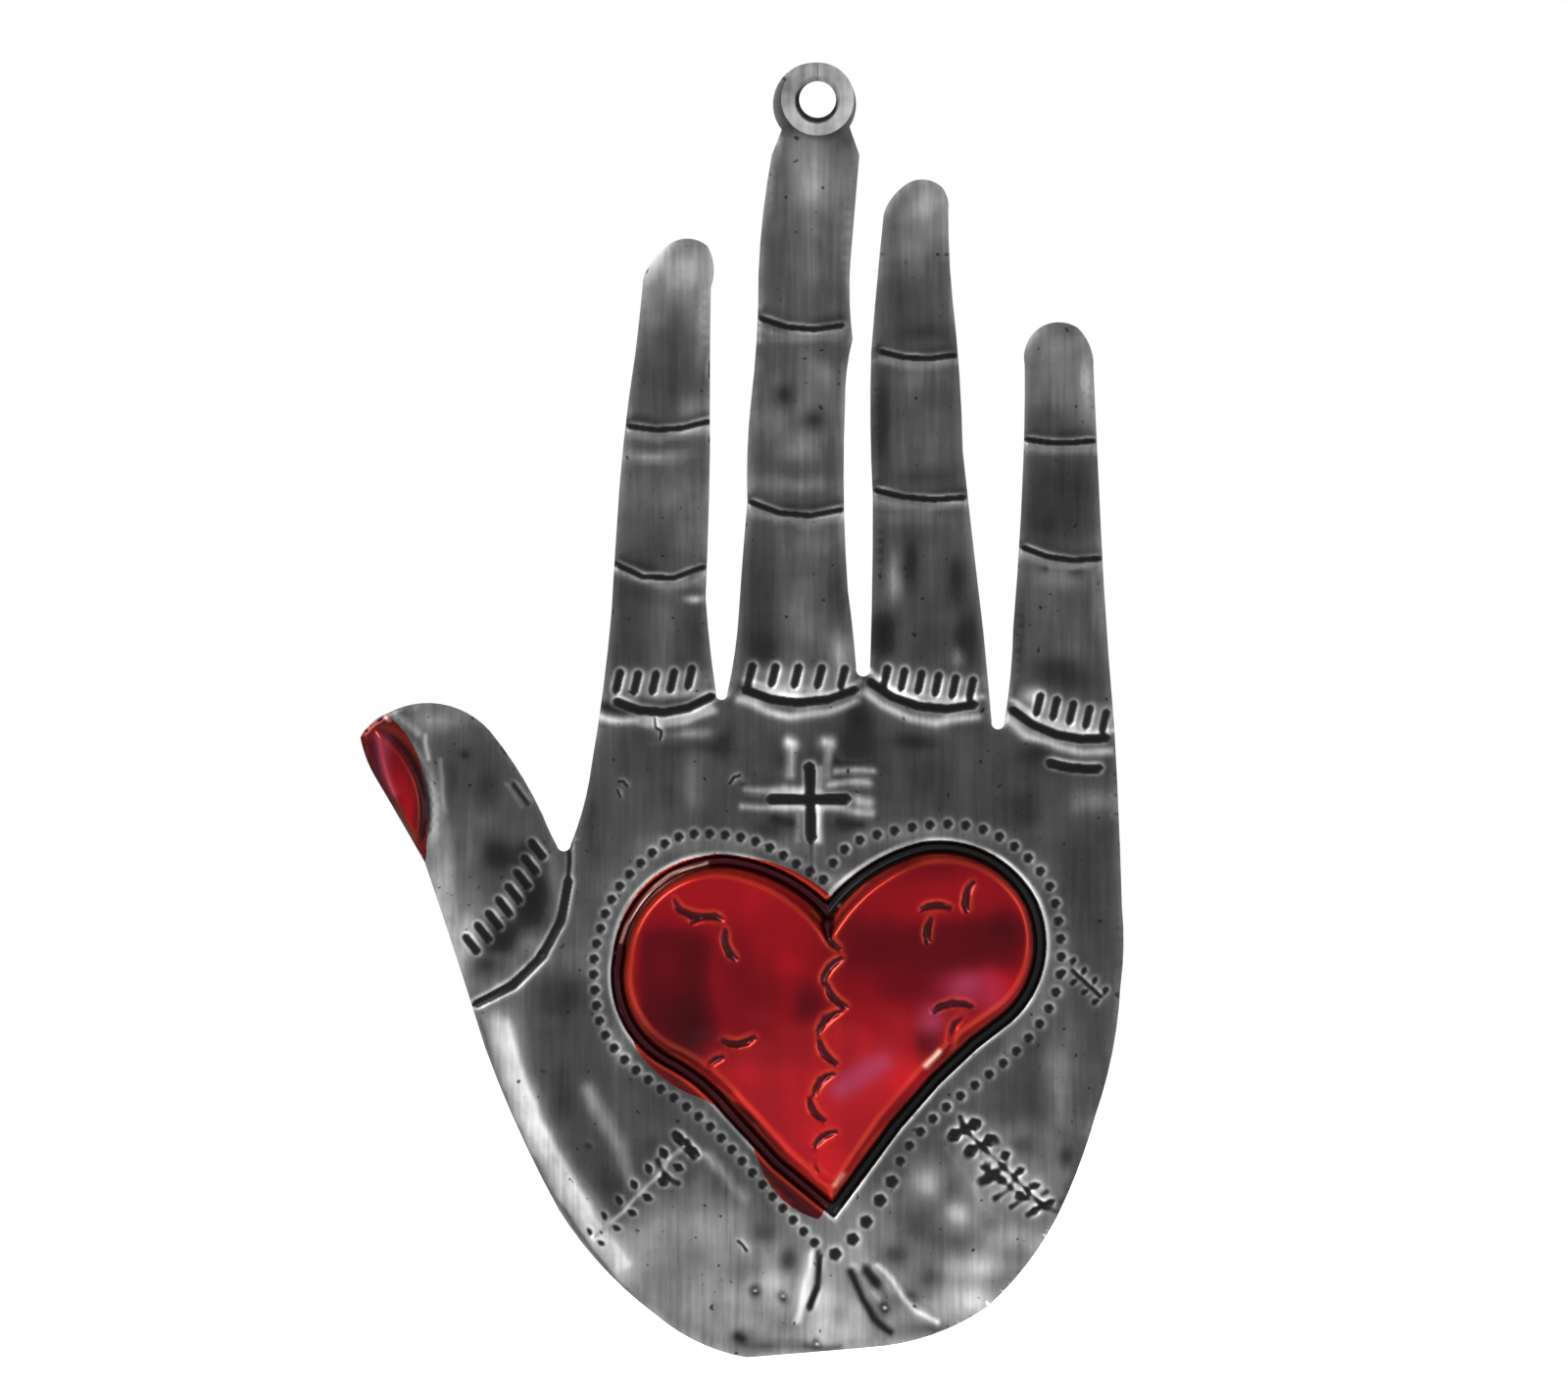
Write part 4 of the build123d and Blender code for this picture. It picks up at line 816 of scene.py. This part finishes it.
class Nodes:
    """A material's node tree with short calls."""

    def __init__(self, name):
        self.material = bpy.data.materials.new(name)
        self.material.use_nodes = True
        self.tree = self.material.node_tree
        self.tree.nodes.clear()
        self.place = self.add("ShaderNodeTexCoord").outputs["Object"]

    def add(self, kind, **values):
        node = self.tree.nodes.new(kind)
        for key, value in values.items():
            setattr(node, key, value)
        return node

    def link(self, source, target):
        if isinstance(source, (int, float, tuple)):
            target.default_value = source
        else:
            self.tree.links.new(source, target)

    def number(self, key):
        return self.add("ShaderNodeAttribute", attribute_name=key).outputs["Fac"]

    def noise(self, scale, detail, stretch=(1, 1, 1)):
        mapping = self.add("ShaderNodeMapping")
        mapping.inputs["Scale"].default_value = stretch
        self.link(self.place, mapping.inputs["Vector"])
        texture = self.add("ShaderNodeTexNoise")
        texture.inputs["Scale"].default_value = scale
        texture.inputs["Detail"].default_value = detail
        self.link(mapping.outputs["Vector"], texture.inputs["Vector"])
        return texture.outputs["Fac"]

    def uneven(self, scale, detail, swing, least):
        """Noise as a factor, from its least value up by a swing."""
        return self.math("MULTIPLY_ADD", self.noise(scale, detail), swing, least)

    def math(self, operation, first, second=0.0, third=0.0):
        node = self.add("ShaderNodeMath", operation=operation)
        for value, socket in zip((first, second, third), node.inputs):
            self.link(value, socket)
        return node.outputs["Value"]

    def within(self, operation, first, second=0.0, third=0.0):
        result = self.math(operation, first, second, third)
        result.node.use_clamp = True
        return result

    def lessened(self, value, share, loss):
        """A value that loses up to a part of itself where a share is 1."""
        return self.math("MULTIPLY", value, self.math("MULTIPLY_ADD", share, -loss, 1.0))

    def mix(self, share, first, second):
        node = self.add("ShaderNodeMix", data_type="RGBA")
        for value, socket in zip((share, first, second), (0, 6, 7)):
            self.link((*value, 1) if isinstance(value, tuple) else value, node.inputs[socket])
        return node.outputs[2]

    def ramp(self, value, *stops):
        node = self.add("ShaderNodeValToRGB")
        while len(node.color_ramp.elements) < len(stops):
            node.color_ramp.elements.new(0.5)
        for element, (place, colour) in zip(node.color_ramp.elements, stops):
            element.position = place
            element.color = (*colour, 1)
        self.link(value, node.inputs["Fac"])
        return node.outputs["Color"]

    def bump(self, height, strength, distance):
        node = self.add("ShaderNodeBump")
        node.inputs["Strength"].default_value = strength
        node.inputs["Distance"].default_value = distance
        self.link(height, node.inputs["Height"])
        return node.outputs["Normal"]

    def shader(self, **sockets):
        node = self.add("ShaderNodeBsdfPrincipled")
        for key, value in sockets.items():
            self.link(value, node.inputs[key.replace("_", " ")])
        output = self.add("ShaderNodeOutputMaterial")
        self.link(node.outputs["BSDF"], output.inputs["Surface"])
        return self.material


def grey(value):
    return (value, value, value)


def brushed(n, tone):
    """A tone with mottle, upright streaks, fine grain and specks, and a bump of the grain."""
    spread = 1.0
    for scale, detail, stretch, strength, off in TIN_NOISES:
        grain = n.noise(scale, detail, stretch)
        spread = n.math("MULTIPLY_ADD", grain, strength, n.math("SUBTRACT", spread, off))
    speck = n.within("ADD", n.uneven(*SPECKS))
    tone = n.lessened(n.math("MULTIPLY", tone, spread), speck, SPECK_LOSS)
    return tone, n.bump(grain, GRAIN_BUMP, GRAIN_DEPTH)


def ring_tone(n):
    """The ring's tone: painted shade round the hole, most at the lower left, and darker right of the edge
    of a painted reflection.
    """
    across, _, up = n.add("ShaderNodeSeparateXYZ").outputs
    n.link(n.place, across.node.inputs[0])
    low = n.math("ADD", up, RING_SHADE_LOW)
    left = n.math("ADD", across, RING_SHADE_LEFT)
    away = n.math("SQRT", n.math("ADD", n.math("MULTIPLY", low, low), n.math("MULTIPLY", left, left)))
    away = n.math("ADD", n.uneven(*RING_RAGGED), away)
    # painted shade round the hole, most at the lower left
    dark = n.within("MULTIPLY_ADD", away, -RING_FADE, RING_FADE * RING_SHADE_REACH)
    # the edge of a painted reflection: darker right of it, more so higher up
    right = n.within("MULTIPLY_ADD", across, REFLECTION_EDGE_FADE, -REFLECTION_EDGE_FADE * REFLECTION_EDGE)
    right = n.math("MULTIPLY", right, n.within("MULTIPLY_ADD", up, REFLECTION_TOP_FADE, REFLECTION_TOP_FROM))
    tone = n.lessened(n.uneven(*RING_MOTTLE), right, REFLECTION_EDGE_LOSS)
    return n.lessened(tone, dark, RING_SHADE_LOSS)


def antique_tin(name, has_marks):
    """Tin with dark patina left in its hollows, rubbed bright on what stands proud, and a highlight
    painted on the upper right of each mark's rim.
    """
    n = Nodes(name)
    tone, bump = brushed(n, n.number("tone") if has_marks else ring_tone(n))
    if has_marks:
        lift = n.math("MULTIPLY", n.number("crest"), CREST_LIFT)
        # the rims round the marks: rubbed bright, with a painted highlight strongest at their upper right
        lift = n.math("MULTIPLY_ADD", n.number("halo_and_highlight"), HALO_AND_HIGHLIGHT_LIFT, lift)
        lift = n.math("MULTIPLY_ADD", n.number("edge"), EDGE_LIFT, lift)
        tone = n.math("MULTIPLY_ADD", lift, n.uneven(*LIFT_BREAKS), tone)
        tone = n.lessened(tone, n.number("hollow"), PATINA_LOSS)
    colour = n.ramp(tone, *[(place, grey(value)) for place, value in TIN_GREYS])
    return n.shader(Base_Color=colour, Metallic=METALLIC, Roughness=TIN_ROUGHNESS, Normal=bump)


def red_lacquer(name, deep, thin):
    """Glossy translucent red over bright tin, darker by a share where it is deep, orange where thin over
    crests and where highlights are painted on rims, with painted violet reflections and painted glints.
    """
    n = Nodes(name)
    streak = n.noise(*RED_STREAK)
    tone = n.math("MULTIPLY", n.number("tone"), n.uneven(*RED_MOTTLE))
    tone = n.math("MULTIPLY", tone, n.math("MULTIPLY_ADD", streak, STREAK_SWING, 1 - STREAK_SWING / 2))
    # painted violet reflection
    colour = n.mix(n.number("violet_reflection"), n.ramp(tone, *REDS), VIOLET_REFLECTION_RED)
    # orange where the lacquer is thin over crests, with painted highlight on rims and along the orange
    # lines
    rim = n.math("MULTIPLY_ADD", n.number("crest"), thin, n.math("MULTIPLY", n.number("halo_and_highlight"), HALO_AND_HIGHLIGHT_THIN))
    rim = n.math("MULTIPLY", rim, n.uneven(*THIN_BREAKS))
    rim = n.within("MULTIPLY_ADD", n.number("orange_highlight"), ORANGE_HIGHLIGHT_SHARE, rim)
    colour = n.mix(rim, colour, THIN_AND_LIT_RED)
    colour = n.mix(n.math("MULTIPLY", n.number("hollow"), deep), colour, DEEP_RED)
    # painted glints
    colour = n.mix(n.number("painted_glint"), colour, PAINTED_GLINT_RED)
    bump = n.bump(streak, STREAK_BUMP, GRAIN_DEPTH)
    rough = n.uneven(*RED_ROUGHNESS)
    return n.shader(Base_Color=colour, Metallic=METALLIC, Roughness=rough, Normal=bump, **COAT_SHINE)


# The stage


def area_lamp(name, place, size, power):
    light = bpy.data.lights.new(name, "AREA")
    light.shape = "SQUARE"
    light.size = size
    light.energy = power
    lamp = bpy.data.objects.new(name, light)
    lamp.location = place
    lamp.rotation_euler = (MIDDLE - Vector(place)).to_track_quat("-Z", "Y").to_euler()
    bpy.context.scene.collection.objects.link(lamp)


def seen_directly(tree):
    """1 for the rays of the camera and of mirrors and glass, 0 for those that light the object."""
    path = tree.nodes.new("ShaderNodeLightPath")
    seen = path.outputs["Is Camera Ray"]
    for ray in ("Is Glossy Ray", "Is Transmission Ray"):
        either = tree.nodes.new("ShaderNodeMath")
        either.operation = "MAXIMUM"
        tree.links.new(seen, either.inputs[0])
        tree.links.new(path.outputs[ray], either.inputs[1])
        seen = either.outputs["Value"]
    return seen


def make_world():
    """Soft light from all round, seen as plain white."""
    world = bpy.data.worlds.new("studio")
    world.use_nodes = True
    tree = world.node_tree
    tree.nodes.clear()
    mix = tree.nodes.new("ShaderNodeMixShader")
    tree.links.new(seen_directly(tree), mix.inputs["Fac"])
    for strength, socket in ((WORLD_STRENGTH, 1), (1.0, 2)):
        white = tree.nodes.new("ShaderNodeBackground")
        white.inputs["Color"].default_value = (1, 1, 1, 1)
        white.inputs["Strength"].default_value = strength
        tree.links.new(white.outputs[0], mix.inputs[socket])
    output = tree.nodes.new("ShaderNodeOutputWorld")
    tree.links.new(mix.outputs[0], output.inputs["Surface"])
    bpy.context.scene.world = world


def make_floor():
    """A pale floor that keeps the ornament's shadow and is white away from it."""
    mesh = bpy.data.meshes.new("floor")
    left, right = MIDDLE.x - FLOOR_SIZE / 2, MIDDLE.x + FLOOR_SIZE / 2
    near, far = MIDDLE.y - FLOOR_SIZE / 2, MIDDLE.y + FLOOR_SIZE / 2
    square = [(left, near), (right, near), (right, far), (left, far)]
    level = cad_box[0].z - FLOOR_DROP
    mesh.from_pydata([(x, y, level) for x, y in square], [], [(0, 1, 2, 3)])
    material = bpy.data.materials.new("pale_floor")
    material.use_nodes = True
    tree = material.node_tree
    tree.nodes.clear()
    pale = tree.nodes.new("ShaderNodeBsdfDiffuse")
    pale.inputs["Color"].default_value = (*grey(FLOOR_GREY), 1)
    glow = tree.nodes.new("ShaderNodeEmission")
    share = tree.nodes.new("ShaderNodeMath")
    share.operation = "MULTIPLY"
    share.inputs[1].default_value = FLOOR_GLOW
    tree.links.new(seen_directly(tree), share.inputs[0])
    tree.links.new(share.outputs[0], glow.inputs["Strength"])
    both = tree.nodes.new("ShaderNodeAddShader")
    tree.links.new(pale.outputs[0], both.inputs[0])
    tree.links.new(glow.outputs[0], both.inputs[1])
    output = tree.nodes.new("ShaderNodeOutputMaterial")
    tree.links.new(both.outputs[0], output.inputs["Surface"])
    mesh.materials.append(material)
    floor = bpy.data.objects.new("floor", mesh)
    bpy.context.scene.collection.objects.link(floor)


def make_camera():
    """A camera square to the front, a long way off, with the photograph's frame."""
    data = bpy.data.cameras.new("camera")
    data.sensor_width = SENSOR_WIDTH
    data.lens = data.sensor_width * CAMERA_DISTANCE / (PHOTO_SIZE[0] * PIXEL)
    camera = bpy.data.objects.new("camera", data)
    x, z = from_pixel(PHOTO_SIZE[0] / 2, PHOTO_SIZE[1] / 2)
    camera.location = (x, -CAMERA_DISTANCE, z)
    camera.rotation_euler = (math.pi / 2, 0, 0)
    bpy.context.scene.collection.objects.link(camera)
    bpy.context.scene.camera = camera


make_camera()
make_world()
make_floor()
for lamp in LAMPS:
    area_lamp(*lamp)

tin = antique_tin("antique_tin", True)
ring_tin = antique_tin("ring_tin", False)
tin_front(tin)
tin_back(tin)
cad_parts["eye_ring"].material_slots[0].material = ring_tin
coat_maps = {"violet_reflection": violet_reflection, "painted_glint": painted_glint, "orange_highlight": orange_highlight}
heart_maps = {"tone": red_tone_and_reflections, **coat_maps}
nail_maps = {"tone": painted(PLAIN_NAIL, nail_patches, nail_lines), **coat_maps}
heart_red = red_lacquer("heart_red", deep=0.92, thin=0.26)
nail_red = red_lacquer("nail_red", deep=0.35, thin=0.1)
coat("heart_lacquer", "heart_coat", heart_maps, heart_red)
coat("thumbnail_lacquer", "thumbnail_coat", nail_maps, nail_red)

bpy.context.scene.view_settings.view_transform = "Standard"
